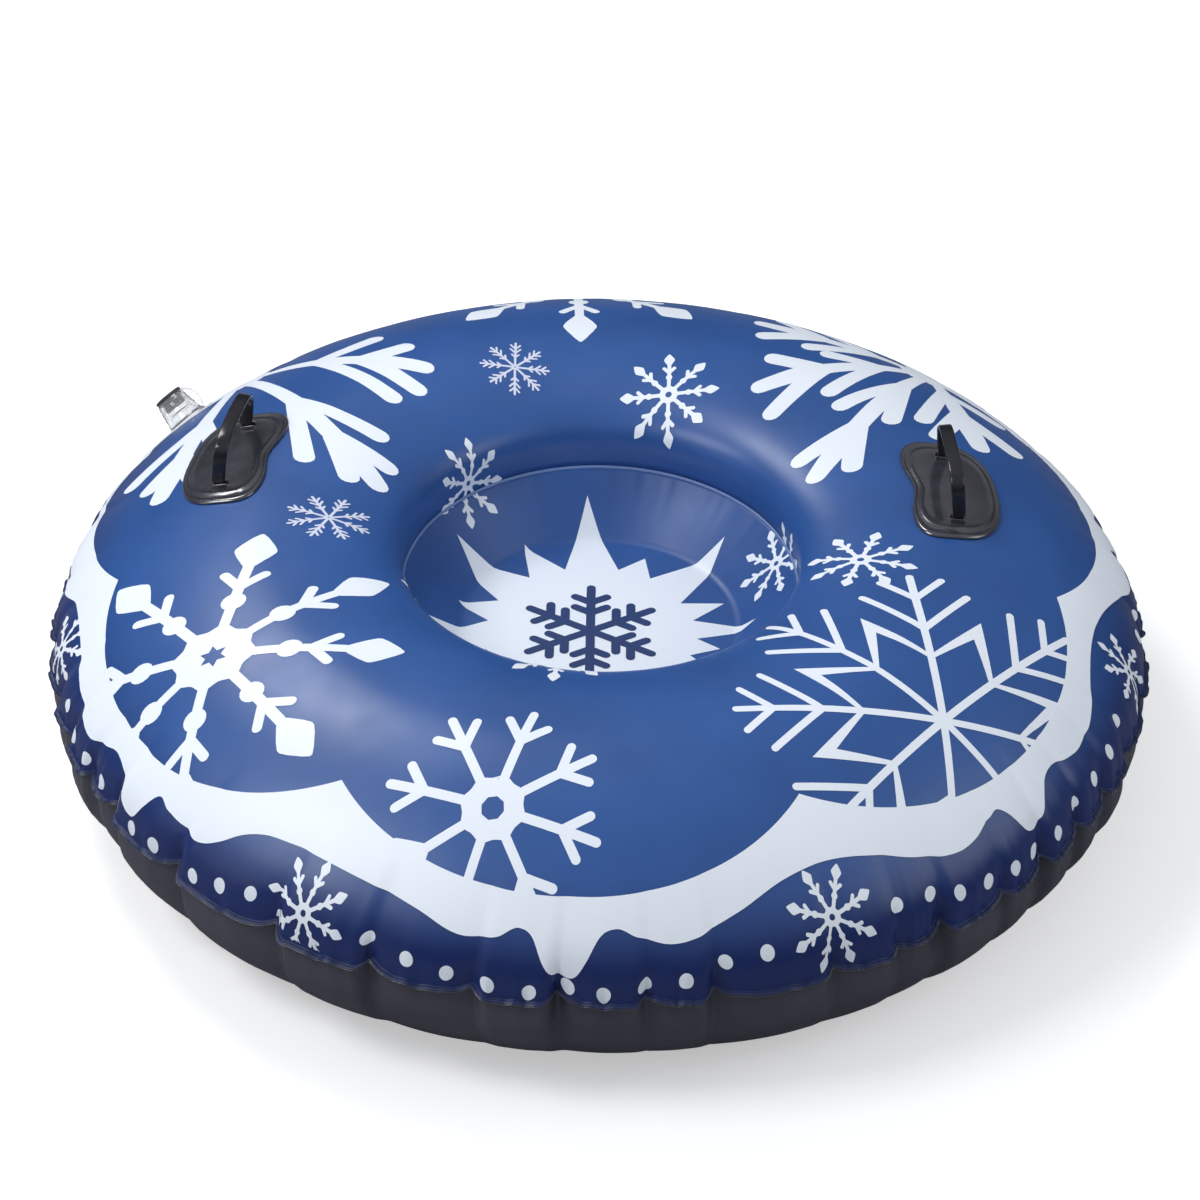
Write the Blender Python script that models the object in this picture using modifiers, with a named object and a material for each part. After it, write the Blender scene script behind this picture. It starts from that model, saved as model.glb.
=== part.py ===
"""Inflatable snow tube: a printed upper skin and a black lower skin welded round the outer seam, a
printed seat panel that lines the centre well and is welded to both, two black moulded carry
handles and a clear stopper valve. Metres, +Z up, origin on the ground at the centre of the tube.
Left, right and back are as seen from -Y, with +X to the right: the valve is at the back left."""

import math

import bmesh
import bpy
import numpy as np
from mathutils import Matrix, Vector

# Tube body, measured on the outside of the skins
TUBE_RADIUS = 0.480
TUBE_HEIGHT = 0.230
SEAM_HEIGHT = 0.114
CREST_RADIUS = 0.290
WELL_RADIUS = 0.173
WAIST_HEIGHT = 0.189
WELD_RADIUS = 0.174
WELD_HEIGHT = 0.163
CONTACT_WIDTH = 0.070

# Roundness of the tube's quarters: 2 is an ellipse, more is squarer
OUTER_SHOULDER_POWER = 1.65
INNER_SHOULDER_POWER = 2.35
BELLY_POWER = 2.6
INNER_BELLY_POWER = 1.7

# Sheets and their weld margins
TOP_SKIN = 0.0007
BOTTOM_SKIN = 0.0010
SEAM_GAP = 0.0003
OUTER_MARGIN = 0.008
INNER_MARGIN = 0.010

# Seat panel
PANEL_SHEET = 0.0007
FLOOR_RADIUS = 0.123
FLOOR_HEIGHT = 0.118
FLOOR_EDGE_RADIUS = 0.012
RIM_CLEARANCE = 0.0006

# Puckers along the outer seam: tucks pinched in, with the skin full between them
TUCK_COUNT = 40
COLUMNS_PER_TUCK = 2
TUCK_DEPTH = 0.0055
SEAM_WAVE = 0.0075
PUCKER_REACH = 0.050
TUCK_DRIFT = math.radians(2.2)
DRIFT_WAVES = 4
SECOND_DRIFT_SHARE = 0.5

# Handles: a kidney-shaped patch on the skin with two root sockets, and a strap that stands in them
HANDLE_ANGLES = {"left": math.radians(163.6), "right": math.radians(10.6)}
HANDLE_ARCS = {"left": 0.182, "right": 0.212}
HANDLE_TWISTS = {"left": math.radians(7), "right": math.radians(-6.5)}
PATCH_LENGTH = 0.147
PATCH_WIDTH = 0.082
PATCH_THICKNESS = 0.0026
PATCH_EDGE = 0.0010
PATCH_SEAT = 0.0006
PATCH_OUTLINE_POWER = 3.0
PATCH_WAIST = 0.006
PATCH_WAIST_SPREAD_SHARE = 1 / 3
PATCH_SEGMENTS = 32
PATCH_RING_SHARES = (0.25, 0.50, 0.72, 0.90, 1.0)
PATCH_RISE_SHARES = (1.0, 1.0, 1.0, 0.92, 0.0)
STRAP_SPAN = 0.096
STRAP_WIDTH = 0.012
STRAP_THICKNESS = 0.004
STRAP_RISE = 0.038
STRAP_BULGE = 0.0045
STRAP_LEG = 0.010
STRAP_EDGE = 0.0010
STRAP_END_SHARES = (0.96, 0.85, 0.62, 0.33, 0.0)
STRAP_SIDE_POWER = 0.75
STRAP_TOP_POWER = 0.75
STRAP_LEAN_FROM_UPRIGHT = math.radians(5)
ROOT_CLEARANCE = 0.0004
SOCKET_HEIGHT = 0.0045
SOCKET_CHEEK = 0.0025
SOCKET_SHOULDER = 0.003
SOCKET_CLEARANCE = 0.0005

# Valve: body with a welded flange, stopper, tether and inner flap
VALVE_ANGLE = math.radians(146.5)
VALVE_ARC = 0.0385
FLANGE_RADIUS = 0.029
FLANGE_SHEET = 0.0010
FLANGE_SEAT = 0.0005
NECK_BASE_RADIUS = 0.0185
NECK_TIP_RADIUS = 0.0138
NECK_HEIGHT = 0.0275
NECK_WALL = 0.0024
NECK_BASE_WALL = 0.0028
SKIRT_DEPTH = 0.009
STRAIGHT_BORE = 0.0155
HOLE_CLEARANCE = 0.0006
STOPPER_CAP = 0.0028
STOPPER_STEM = 0.0125
STOPPER_FIT = 0.0003
STOPPER_RIB = 0.0006
STOPPER_RIBS = 3
FLAP_SHEET = 0.0010
FLAP_LAP = 0.0012
TETHER_WIDTH = 0.005
TETHER_THICKNESS = 0.0012
TETHER_BOW = 0.008
TETHER_FOOT_REACH = 0.0053
TETHER_EDGE = 0.0003
TETHER_DROP_POWER = 1.5
SEAT_GAP = 0.0003

# Fineness of the turned and swept shapes
SHOULDER_STEPS = 7
INNER_SHOULDER_STEPS = 4
BELLY_STEPS = 4
FINE_STEPS = 160
VALVE_SIDES = 24
ARCH_STEPS = 20
TETHER_STEPS = 10
FILLET_STEPS = 3
HOLE_SIDES = 36
PANEL_COLUMNS = 48
OVERRUN = 0.010
WELD_DISTANCE = 0.00001
SHARP_ANGLE = math.radians(35)

# Colours as seen in even light
PRINT_BLUE = (0.058, 0.112, 0.300)
LOWER_BLACK = (0.030, 0.030, 0.036)
HANDLE_BLACK = (0.020, 0.020, 0.022)
CLEAR_VINYL = (0.70, 0.72, 0.76)
STOPPER_GREY = (0.36, 0.37, 0.41)


def clear_scene():
    for item in list(bpy.data.objects):
        bpy.data.objects.remove(item, do_unlink=True)


def new_collection(name):
    collection = bpy.data.collections.new(name)
    bpy.context.scene.collection.children.link(collection)
    return collection


def make_material(name, color, roughness, alpha=1.0):
    material = bpy.data.materials.new(name)
    material.use_nodes = True
    shader = material.node_tree.nodes["Principled BSDF"]
    shader.inputs["Base Color"].default_value = (*color, 1.0)
    shader.inputs["Roughness"].default_value = roughness
    shader.inputs["Metallic"].default_value = 0.0
    shader.inputs["Alpha"].default_value = alpha
    material.diffuse_color = (*color, alpha)
    return material


def add_object(name, mesh, collection, material=None):
    item = bpy.data.objects.new(name, mesh)
    collection.objects.link(item)
    if material is not None:
        mesh.materials.append(material)
    return item


def smooth(mesh):
    mesh.shade_smooth()
    mesh.set_sharp_from_angle(angle=SHARP_ANGLE)


# Tube meridian

def superellipse(centre, reach, rise, power, first, last, steps):
    """Points on a superellipse between two angles in degrees, counted from the outer side."""
    points = []
    for step in range(steps + 1):
        angle = math.radians(first + (last - first) * step / steps)
        across = math.copysign(abs(math.cos(angle)) ** (2 / power), math.cos(angle))
        up = math.copysign(abs(math.sin(angle)) ** (2 / power), math.sin(angle))
        points.append((centre[0] + reach * across, centre[1] + rise * up))
    return points


def seat_wall():
    """Slope of the seat panel's wall and its length from the floor's edge to the upper weld."""
    run, drop = WELD_RADIUS - FLOOR_RADIUS, WELD_HEIGHT - FLOOR_HEIGHT
    span = math.hypot(run, drop)
    stack = SEAM_GAP + PANEL_SHEET
    return math.atan2(drop, run) + math.asin(stack / span), math.sqrt(span**2 - stack**2)


def seat_setback():
    """How far the fillet at the floor's edge reaches into the flat floor."""
    slope, _ = seat_wall()
    return FLOOR_EDGE_RADIUS * math.tan(slope / 2)


def top_wall(outer_steps, inner_steps):
    """Outer face of the upper skin from the outer seam over the crest to the seat's weld."""
    seam = SEAM_HEIGHT + SEAM_GAP / 2 + TOP_SKIN
    outer = superellipse(
        (CREST_RADIUS, seam), TUBE_RADIUS - CREST_RADIUS, TUBE_HEIGHT - seam,
        OUTER_SHOULDER_POWER, 0, 90, outer_steps,
    )
    inner = superellipse(
        (CREST_RADIUS, WAIST_HEIGHT), CREST_RADIUS - WELL_RADIUS, TUBE_HEIGHT - WAIST_HEIGHT,
        INNER_SHOULDER_POWER, 90, 180, inner_steps,
    )
    return outer + inner[1:] + [(WELD_RADIUS, WELD_HEIGHT)]


def bottom_wall():
    """Outer face of the lower skin from the outer seam under the tube to the seat floor's edge."""
    seam = SEAM_HEIGHT - SEAM_GAP / 2 - BOTTOM_SKIN
    seat_seam = FLOOR_HEIGHT - PANEL_SHEET - SEAM_GAP - BOTTOM_SKIN
    outer_centre = CREST_RADIUS + CONTACT_WIDTH / 2
    inner_centre = CREST_RADIUS - CONTACT_WIDTH / 2
    outer = superellipse(
        (outer_centre, seam), TUBE_RADIUS - outer_centre, seam, BELLY_POWER, 0, -90, BELLY_STEPS
    )
    inner = superellipse(
        (inner_centre, seat_seam), inner_centre - (FLOOR_RADIUS - seat_setback()), seat_seam,
        INNER_BELLY_POWER, -90, -180, BELLY_STEPS,
    )
    return outer + inner


def with_margins(wall, inner_slope=0.0):
    """The wall with its weld margins: flat outwards at the outer seam, inwards at the inner one."""
    outer, inner = wall[0], wall[-1]
    inner_end = (
        inner[0] - INNER_MARGIN * math.cos(inner_slope),
        inner[1] - INNER_MARGIN * math.sin(inner_slope),
    )
    return [(outer[0] + OUTER_MARGIN, outer[1])] + wall + [inner_end]


def fine_meridian():
    """Arc length, radius, height and outward normal along the upper skin's outer face."""
    points = np.array(top_wall(FINE_STEPS, FINE_STEPS))
    steps = np.diff(points, axis=0)
    arc = np.concatenate([[0], np.cumsum(np.hypot(steps[:, 0], steps[:, 1]))])
    slope = np.gradient(points, arc, axis=0)
    normal = np.stack([slope[:, 1], -slope[:, 0]], axis=1)
    normal /= np.linalg.norm(normal, axis=1)[:, None]
    return arc, points, normal


MERIDIAN = fine_meridian()


def shell_frame(angle, arc):
    """Point on the upper skin and its directions: round the tube, up the wall, and outwards."""
    arcs, points, normals = MERIDIAN
    radius = float(np.interp(arc, arcs, points[:, 0]))
    height = float(np.interp(arc, arcs, points[:, 1]))
    outward = Vector((np.interp(arc, arcs, normals[:, 0]), 0, np.interp(arc, arcs, normals[:, 1])))
    turn = Matrix.Rotation(angle, 3, "Z")
    outward = turn @ outward.normalized()
    around = turn @ Vector((0, 1, 0))
    return turn @ Vector((radius, 0, height)), around, outward.cross(around), outward


def on_shell(angle, arc, lift):
    point, _, _, outward = shell_frame(angle, arc)
    return point + outward * lift


# Turned skins with puckers

def screw_mesh(name, profile, columns, collection, closed=False):
    """The profile turned once round Z with a Screw modifier, as an evaluated mesh."""
    mesh = bpy.data.meshes.new(name)
    count = len(profile)
    edges = [(i, (i + 1) % count) for i in range(count if closed else count - 1)]
    mesh.from_pydata([(radius, 0, height) for radius, height in profile], edges, [])
    item = bpy.data.objects.new(name, mesh)
    collection.objects.link(item)
    screw = item.modifiers.new("turn", "SCREW")
    screw.steps = screw.render_steps = columns
    screw.use_merge_vertices = True
    screw.merge_threshold = WELD_DISTANCE
    screw.use_smooth_shade = True
    bpy.context.view_layer.update()
    graph = bpy.context.evaluated_depsgraph_get()
    turned = bpy.data.meshes.new_from_object(item.evaluated_get(graph))
    bpy.data.objects.remove(item, do_unlink=True)
    bpy.data.meshes.remove(mesh)
    return turned


def tuck_shift(angle):
    """How far a tuck lies from its even place round the seam."""
    drift = math.sin(DRIFT_WAVES * angle)
    return TUCK_DRIFT * (drift + SECOND_DRIFT_SHARE * math.sin(2 * DRIFT_WAVES * angle))


def valve_calm(angle):
    """0 at the valve, where the skin is kept taut, rising to 1 away from it."""
    apart = abs(math.remainder(angle - VALVE_ANGLE, math.tau)) * TUBE_RADIUS
    return min(1.0, max(0.0, (apart - FLANGE_RADIUS) / FLANGE_RADIUS))


def pucker(mesh):
    """Pinches the skin in and up at each tuck of the outer seam, less and less away from it."""
    for vertex in mesh.vertices:
        x, y, z = vertex.co
        radius, angle = math.hypot(x, y), math.atan2(y, x)
        distance = max(0.0, TUBE_RADIUS - radius) + abs(z - SEAM_HEIGHT)
        fade = math.exp(-((distance / PUCKER_REACH) ** 2)) * valve_calm(angle)
        pinch = 1 - abs(math.sin(TUCK_COUNT * angle / 2))
        radius -= TUCK_DEPTH * pinch * fade
        height = z + SEAM_WAVE * (pinch - 0.5) * fade
        angle += tuck_shift(angle)
        vertex.co = (radius * math.cos(angle), radius * math.sin(angle), height)


def face_outwards(mesh, inside):
    """Turns the faces so that they look away from a point inside the tube's section."""
    shape = bmesh.new()
    shape.from_mesh(mesh)
    face = max(shape.faces, key=lambda item: item.calc_area())
    centre = face.calc_center_median()
    angle = math.atan2(centre.y, centre.x)
    core = Vector((inside[0] * math.cos(angle), inside[0] * math.sin(angle), inside[1]))
    bmesh.ops.recalc_face_normals(shape, faces=shape.faces)
    face = max(shape.faces, key=lambda item: item.calc_area())
    if face.normal.dot(face.calc_center_median() - core) < 0:
        bmesh.ops.reverse_faces(shape, faces=shape.faces)
    shape.to_mesh(mesh)
    shape.free()


def add_sheet(name, mesh, thickness, collection, material):
    """A sheet whose outer face is the mesh, given its thickness inwards."""
    item = add_object(name, mesh, collection, material)
    solidify = item.modifiers.new("sheet", "SOLIDIFY")
    solidify.thickness = thickness
    solidify.offset = -1
    solidify.use_even_offset = True
    solidify.use_rim = True
    smooth(mesh)
    return item


def make_skins(parts, cutters, materials):
    columns = TUCK_COUNT * COLUMNS_PER_TUCK
    core = (CREST_RADIUS, SEAM_HEIGHT)
    slope, _ = seat_wall()
    top_profile = with_margins(top_wall(SHOULDER_STEPS, INNER_SHOULDER_STEPS), slope)
    top_mesh = screw_mesh("top_skin", top_profile, columns, parts)
    pucker(top_mesh)
    face_outwards(top_mesh, core)
    top = add_sheet("top_skin", top_mesh, TOP_SKIN, parts, materials["print"])
    bottom_mesh = screw_mesh("bottom_skin", with_margins(bottom_wall()), columns, parts)
    pucker(bottom_mesh)
    face_outwards(bottom_mesh, core)
    add_sheet("bottom_skin", bottom_mesh, BOTTOM_SKIN, parts, materials["lower"])

    point, _, _, outward = shell_frame(VALVE_ANGLE, VALVE_ARC)
    cutter_mesh = bpy.data.meshes.new("valve_hole")
    shape = bmesh.new()
    radius = NECK_BASE_RADIUS + HOLE_CLEARANCE
    bmesh.ops.create_cone(
        shape, cap_ends=True, segments=HOLE_SIDES, radius1=radius, radius2=radius,
        depth=2 * (SKIRT_DEPTH + OVERRUN),
    )
    shape.to_mesh(cutter_mesh)
    shape.free()
    cutter = add_object("valve_hole", cutter_mesh, cutters)
    cutter.location = point
    cutter.rotation_euler = outward.to_track_quat("Z", "Y").to_euler()
    cutter.hide_render = True
    cutter.display_type = "WIRE"
    cut = top.modifiers.new("valve hole", "BOOLEAN")
    cut.operation = "DIFFERENCE"
    cut.solver = "EXACT"
    cut.object = cutter


def make_seat_panel(parts, materials):
    """Printed pan: a conical wall from the upper skin's weld down to a round floor."""
    slope, length = seat_wall()
    reach = length - RIM_CLEARANCE
    profile = [
        (FLOOR_RADIUS + reach * math.cos(slope), FLOOR_HEIGHT + reach * math.sin(slope))
    ]
    for step in range(FILLET_STEPS + 1):
        turn = slope * (1 - step / FILLET_STEPS)
        profile.append(
            (
                FLOOR_RADIUS - seat_setback() + FLOOR_EDGE_RADIUS * math.sin(turn),
                FLOOR_HEIGHT + FLOOR_EDGE_RADIUS * (1 - math.cos(turn)),
            )
        )
    profile += [(FLOOR_RADIUS / 2, FLOOR_HEIGHT), (0, FLOOR_HEIGHT)]
    mesh = screw_mesh("seat_panel", profile, PANEL_COLUMNS, parts)
    face_outwards(mesh, (WELL_RADIUS / 2, 0))
    add_sheet("seat_panel", mesh, PANEL_SHEET, parts, materials["panel"])


# Handles

def patch_outline(turn):
    """The kidney outline's point at a turn round it, in metres along and across the patch."""
    along = math.copysign(abs(math.cos(turn)) ** (2 / PATCH_OUTLINE_POWER), math.cos(turn))
    across = math.copysign(abs(math.sin(turn)) ** (2 / PATCH_OUTLINE_POWER), math.sin(turn))
    fade = math.exp(-((along / PATCH_WAIST_SPREAD_SHARE) ** 2))
    waist = PATCH_WAIST * fade if across > 0 else 0
    return along * PATCH_LENGTH / 2, across * (PATCH_WIDTH / 2 - waist)


def patch_place(side, along, across):
    """Angle and arc of a point given along and across the patch."""
    twist = HANDLE_TWISTS[side]
    around = along * math.cos(twist) - across * math.sin(twist)
    up = along * math.sin(twist) + across * math.cos(twist)
    point, _, _, _ = shell_frame(HANDLE_ANGLES[side], HANDLE_ARCS[side] + up)
    radius = math.hypot(point.x, point.y)
    return HANDLE_ANGLES[side] + around / radius, HANDLE_ARCS[side] + up


def dome_on_shell(outline, place, ring_shares, rises, seat, segments):
    """A closed pad on the skin: rings of one outline, lifted to the rises, over a seat face."""
    shape = bmesh.new()

    def ring(share, lift):
        points = []
        for segment in range(segments):
            along, across = outline(math.tau * segment / segments)
            points.append(shape.verts.new(on_shell(*place(along * share, across * share), lift)))
        return points

    upper = [ring(share, rise) for share, rise in zip(ring_shares, rises)]
    lower = [ring(share, seat) for share in ring_shares]
    centres = [shape.verts.new(on_shell(*place(0, 0), lift)) for lift in (rises[0], seat)]
    for rings, centre in ((upper, centres[0]), (lower, centres[1])):
        for segment in range(segments):
            following = (segment + 1) % segments
            shape.faces.new((centre, rings[0][segment], rings[0][following]))
            for inner, outer in zip(rings, rings[1:]):
                shape.faces.new(
                    (inner[segment], outer[segment], outer[following], inner[following])
                )
    for segment in range(segments):
        following = (segment + 1) % segments
        shape.faces.new(
            (upper[-1][segment], lower[-1][segment], lower[-1][following], upper[-1][following])
        )
    bmesh.ops.recalc_face_normals(shape, faces=shape.faces)
    return shape


def root_points(side):
    """The two points, rear and front, on the hinge line above the sockets."""
    lift = PATCH_THICKNESS + ROOT_CLEARANCE + STRAP_WIDTH / 2
    ends = [on_shell(*patch_place(side, sign * STRAP_SPAN / 2, 0), lift) for sign in (-1, 1)]
    return sorted(ends, key=lambda point: -point.y)


def handle_frame(side):
    """Hinge line's middle, its direction to the front, the strap's up and its width direction."""
    rear, front = root_points(side)
    along = (front - rear).normalized()
    middle = (rear + front) / 2
    inwards = Vector((-middle.x, -middle.y, 0)).normalized()
    lean = math.cos(STRAP_LEAN_FROM_UPRIGHT) * Vector((0, 0, 1))
    lean += math.sin(STRAP_LEAN_FROM_UPRIGHT) * inwards
    up = (lean - along * lean.dot(along)).normalized()
    return middle, along, up, along.cross(up)


def band_section(width, thickness, edge):
    """Corners of a flat bar with chamfered edges, as (across its width, through it) pairs."""
    half_width, half_depth = width / 2, thickness / 2
    edge = min(edge, half_width / 2)
    corners = []
    for sign_w, sign_d, first in ((1, 1, True), (-1, 1, False), (-1, -1, True), (1, -1, False)):
        flat = (sign_w * (half_width - edge), sign_d * half_depth)
        side = (sign_w * half_width, sign_d * (half_depth - edge))
        corners += [side, flat] if first else [flat, side]
    return corners


def sweep_band(stations, edge):
    """A bar swept through stations of (centre, width direction, depth direction, width, depth)."""
    shape = bmesh.new()
    rings = []
    for centre, across, through, width, thickness in stations:
        section = band_section(width, thickness, edge)
        rings.append([shape.verts.new(centre + across * w + through * d) for w, d in section])
    for ring, following in zip(rings, rings[1:]):
        for corner in range(len(ring)):
            beside = (corner + 1) % len(ring)
            shape.faces.new(
                (ring[corner], ring[beside], following[beside], following[corner])
            )
    shape.faces.new(rings[0][::-1])
    shape.faces.new(rings[-1])
    bmesh.ops.recalc_face_normals(shape, faces=shape.faces)
    return shape


def strap_path():
    """Arch of the strap above its hinge line, as (along, up, width) from rear to front."""
    round_end = STRAP_WIDTH / 2
    end = [
        (-share * round_end, 2 * round_end * math.sqrt(1 - share**2))
        for share in STRAP_END_SHARES
    ]
    path = [(-STRAP_SPAN / 2, up, width) for up, width in end]
    arch_rise = STRAP_RISE - STRAP_LEG
    for step in range(ARCH_STEPS + 1):
        turn = math.pi * step / ARCH_STEPS
        swell = STRAP_BULGE * math.sin(2 * turn) * math.sin(turn)
        side = math.copysign(abs(math.cos(turn)) ** STRAP_SIDE_POWER, math.cos(turn))
        height = STRAP_LEG + arch_rise * math.sin(turn) ** STRAP_TOP_POWER
        path.append((-STRAP_SPAN / 2 * side - swell, height, STRAP_WIDTH))
    path += [(STRAP_SPAN / 2, up, width) for up, width in reversed(end)]
    return path


def make_strap(side, parts, materials):
    """The moulded loop, with round ends so that it can lean in its sockets."""
    middle, along, up, across = handle_frame(side)
    path = strap_path()
    places = [middle + along * a + up * h for a, h, _ in path]
    stations = []
    for index, (place, (_, _, width)) in enumerate(zip(places, path)):
        before = places[max(index - 1, 0)]
        after = places[min(index + 1, len(places) - 1)]
        heading = (after - before).normalized()
        stations.append((place, across, across.cross(heading), width, STRAP_THICKNESS))
    shape = sweep_band(stations, STRAP_EDGE)
    bmesh.ops.translate(shape, verts=shape.verts, vec=-middle)
    name = f"{side}_handle_strap"
    mesh = bpy.data.meshes.new(name)
    shape.to_mesh(mesh)
    shape.free()
    strap = add_object(name, mesh, parts, materials["handle"])
    strap.location = middle
    smooth(mesh)


def make_patch(side, parts, cutters, materials):
    """The patch with its two root sockets, each a pair of cheeks on the strap's flat faces."""
    lifts = [
        PATCH_SEAT + PATCH_EDGE + (PATCH_THICKNESS - PATCH_SEAT - PATCH_EDGE) * share
        for share in PATCH_RISE_SHARES
    ]
    shape = dome_on_shell(
        patch_outline, lambda along, across: patch_place(side, along, across),
        PATCH_RING_SHARES, lifts, PATCH_SEAT, PATCH_SEGMENTS,
    )
    name = f"{side}_handle_patch"
    mesh = bpy.data.meshes.new(name)
    shape.to_mesh(mesh)
    shape.free()
    patch = add_object(name, mesh, parts, materials["handle"])
    smooth(mesh)

    _, along, _, _ = handle_frame(side)
    cheeks = bmesh.new()
    offset = STRAP_THICKNESS / 2 + SOCKET_CLEARANCE + SOCKET_CHEEK / 2
    cheek_width = STRAP_WIDTH + 2 * SOCKET_SHOULDER
    for end in (-1, 1):
        place = patch_place(side, end * STRAP_SPAN / 2, 0)
        _, _, _, outward = shell_frame(*place)
        normal = (outward - along * outward.dot(along)).normalized()
        across = along.cross(normal)
        base = on_shell(*place, (PATCH_SEAT + PATCH_THICKNESS) / 2)
        height = SOCKET_HEIGHT + (PATCH_THICKNESS - PATCH_SEAT) / 2
        for sign in (-1, 1):
            centre = base + along * (sign * offset) + normal * (height / 2)
            turn = Matrix((across, along, normal)).transposed().to_4x4()
            scale = Matrix.Diagonal((cheek_width, SOCKET_CHEEK, height, 1))
            bmesh.ops.create_cube(
                cheeks, size=1, matrix=Matrix.Translation(centre) @ turn @ scale
            )
    bmesh.ops.recalc_face_normals(cheeks, faces=cheeks.faces)
    cheek_mesh = bpy.data.meshes.new(f"{side}_sockets")
    cheeks.to_mesh(cheek_mesh)
    cheeks.free()
    sockets = add_object(f"{side}_sockets", cheek_mesh, cutters)
    sockets.hide_render = True
    sockets.display_type = "WIRE"
    join = patch.modifiers.new("sockets", "BOOLEAN")
    join.operation = "UNION"
    join.solver = "EXACT"
    join.object = sockets


# Valve

def valve_matrix():
    """The valve's own frame: origin on the skin, Z out of the neck, Y up the tube's wall."""
    point, around, upward, outward = shell_frame(VALVE_ANGLE, VALVE_ARC)
    turn = Matrix((around, upward, outward)).transposed().to_4x4()
    return Matrix.Translation(point) @ turn


def add_turned(name, profile, parts, material):
    """A closed profile of (radius, height) turned round the valve's axis."""
    mesh = screw_mesh(name, profile, VALVE_SIDES, parts, closed=profile[0][0] > 0)
    shape = bmesh.new()
    shape.from_mesh(mesh)
    bmesh.ops.recalc_face_normals(shape, faces=shape.faces)
    shape.to_mesh(mesh)
    shape.free()
    smooth(mesh)
    return add_object(name, mesh, parts, material)


def neck_bores():
    """Radius of the neck's straight bore, which holds the stopper, and of its wide base."""
    return NECK_TIP_RADIUS - NECK_WALL, NECK_BASE_RADIUS - NECK_BASE_WALL


def make_valve_body(parts, cutters, materials):
    """Tapered neck through the hole in the skin, joined to a flange that is welded on the skin."""
    bore, base_bore = neck_bores()
    flange_top = FLANGE_SEAT + FLANGE_SHEET
    profile = [
        (NECK_TIP_RADIUS, NECK_HEIGHT),
        (NECK_BASE_RADIUS, flange_top),
        (NECK_BASE_RADIUS, -SKIRT_DEPTH),
        (base_bore, -SKIRT_DEPTH),
        (base_bore, flange_top),
        (bore, NECK_HEIGHT - STRAIGHT_BORE),
        (bore, NECK_HEIGHT),
    ]
    body = add_turned("valve_body", profile, parts, materials["clear"])
    body.matrix_world = valve_matrix()

    shape = bmesh.new()
    inner = (NECK_BASE_RADIUS + base_bore) / 2
    radii = (inner, (inner + FLANGE_RADIUS) / 2, FLANGE_RADIUS)
    point, _, _, _ = shell_frame(VALVE_ANGLE, VALVE_ARC)
    turn_radius = math.hypot(point.x, point.y)

    def ring(radius, lift):
        points = []
        for side in range(HOLE_SIDES):
            turn = math.tau * side / HOLE_SIDES
            angle = VALVE_ANGLE + radius * math.cos(turn) / turn_radius
            arc = VALVE_ARC + radius * math.sin(turn)
            points.append(shape.verts.new(on_shell(angle, arc, lift)))
        return points

    lower = [ring(radius, FLANGE_SEAT) for radius in radii]
    upper = [ring(radius, flange_top) for radius in radii]
    loop = lower + upper[::-1]
    for first, second in zip(loop, loop[1:] + loop[:1]):
        for side in range(HOLE_SIDES):
            beside = (side + 1) % HOLE_SIDES
            shape.faces.new((first[side], second[side], second[beside], first[beside]))
    bmesh.ops.recalc_face_normals(shape, faces=shape.faces)
    mesh = bpy.data.meshes.new("valve_flange")
    shape.to_mesh(mesh)
    shape.free()
    flange = add_object("valve_flange", mesh, cutters)
    flange.hide_render = True
    flange.display_type = "WIRE"
    join = body.modifiers.new("flange", "BOOLEAN")
    join.operation = "UNION"
    join.solver = "EXACT"
    join.object = flange


def make_stopper(parts, materials):
    """Ribbed stem in the straight bore under a thin round cap."""
    bore, _ = neck_bores()
    stem = bore - STOPPER_FIT
    cap_bottom = NECK_HEIGHT + SEAT_GAP
    profile = [
        (0, cap_bottom + STOPPER_CAP),
        (NECK_TIP_RADIUS, cap_bottom + STOPPER_CAP),
        (NECK_TIP_RADIUS, cap_bottom),
        (stem, cap_bottom),
    ]
    pitch = STOPPER_STEM / (2 * STOPPER_RIBS)
    for rib in range(STOPPER_RIBS):
        top = cap_bottom - pitch * (2 * rib + 1)
        profile += [(stem, top), (stem - STOPPER_RIB, top - pitch / 2)]
        profile += [(stem - STOPPER_RIB, top - pitch)]
    profile += [(stem - STOPPER_RIB, cap_bottom - STOPPER_STEM), (0, cap_bottom - STOPPER_STEM)]
    distinct = [profile[0]]
    distinct += [now for before, now in zip(profile, profile[1:]) if now != before]
    stopper = add_turned("valve_stopper", distinct, parts, materials["stopper"])
    stopper.matrix_world = valve_matrix()


def make_flap(parts, materials):
    """Thin round flap that closes the neck's inner end, hinged at its edge."""
    _, base_bore = neck_bores()
    mesh = bpy.data.meshes.new("valve_flap")
    shape = bmesh.new()
    radius = base_bore + FLAP_LAP
    bmesh.ops.create_cone(
        shape, cap_ends=True, segments=VALVE_SIDES, radius1=radius, radius2=radius,
        depth=FLAP_SHEET,
    )
    shape.to_mesh(mesh)
    shape.free()
    flap = add_object("valve_flap", mesh, parts, materials["clear"])
    sink = -SKIRT_DEPTH - SEAT_GAP - FLAP_SHEET / 2
    flap.matrix_world = valve_matrix() @ Matrix.Translation((0, 0, sink))
    smooth(mesh)


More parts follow.
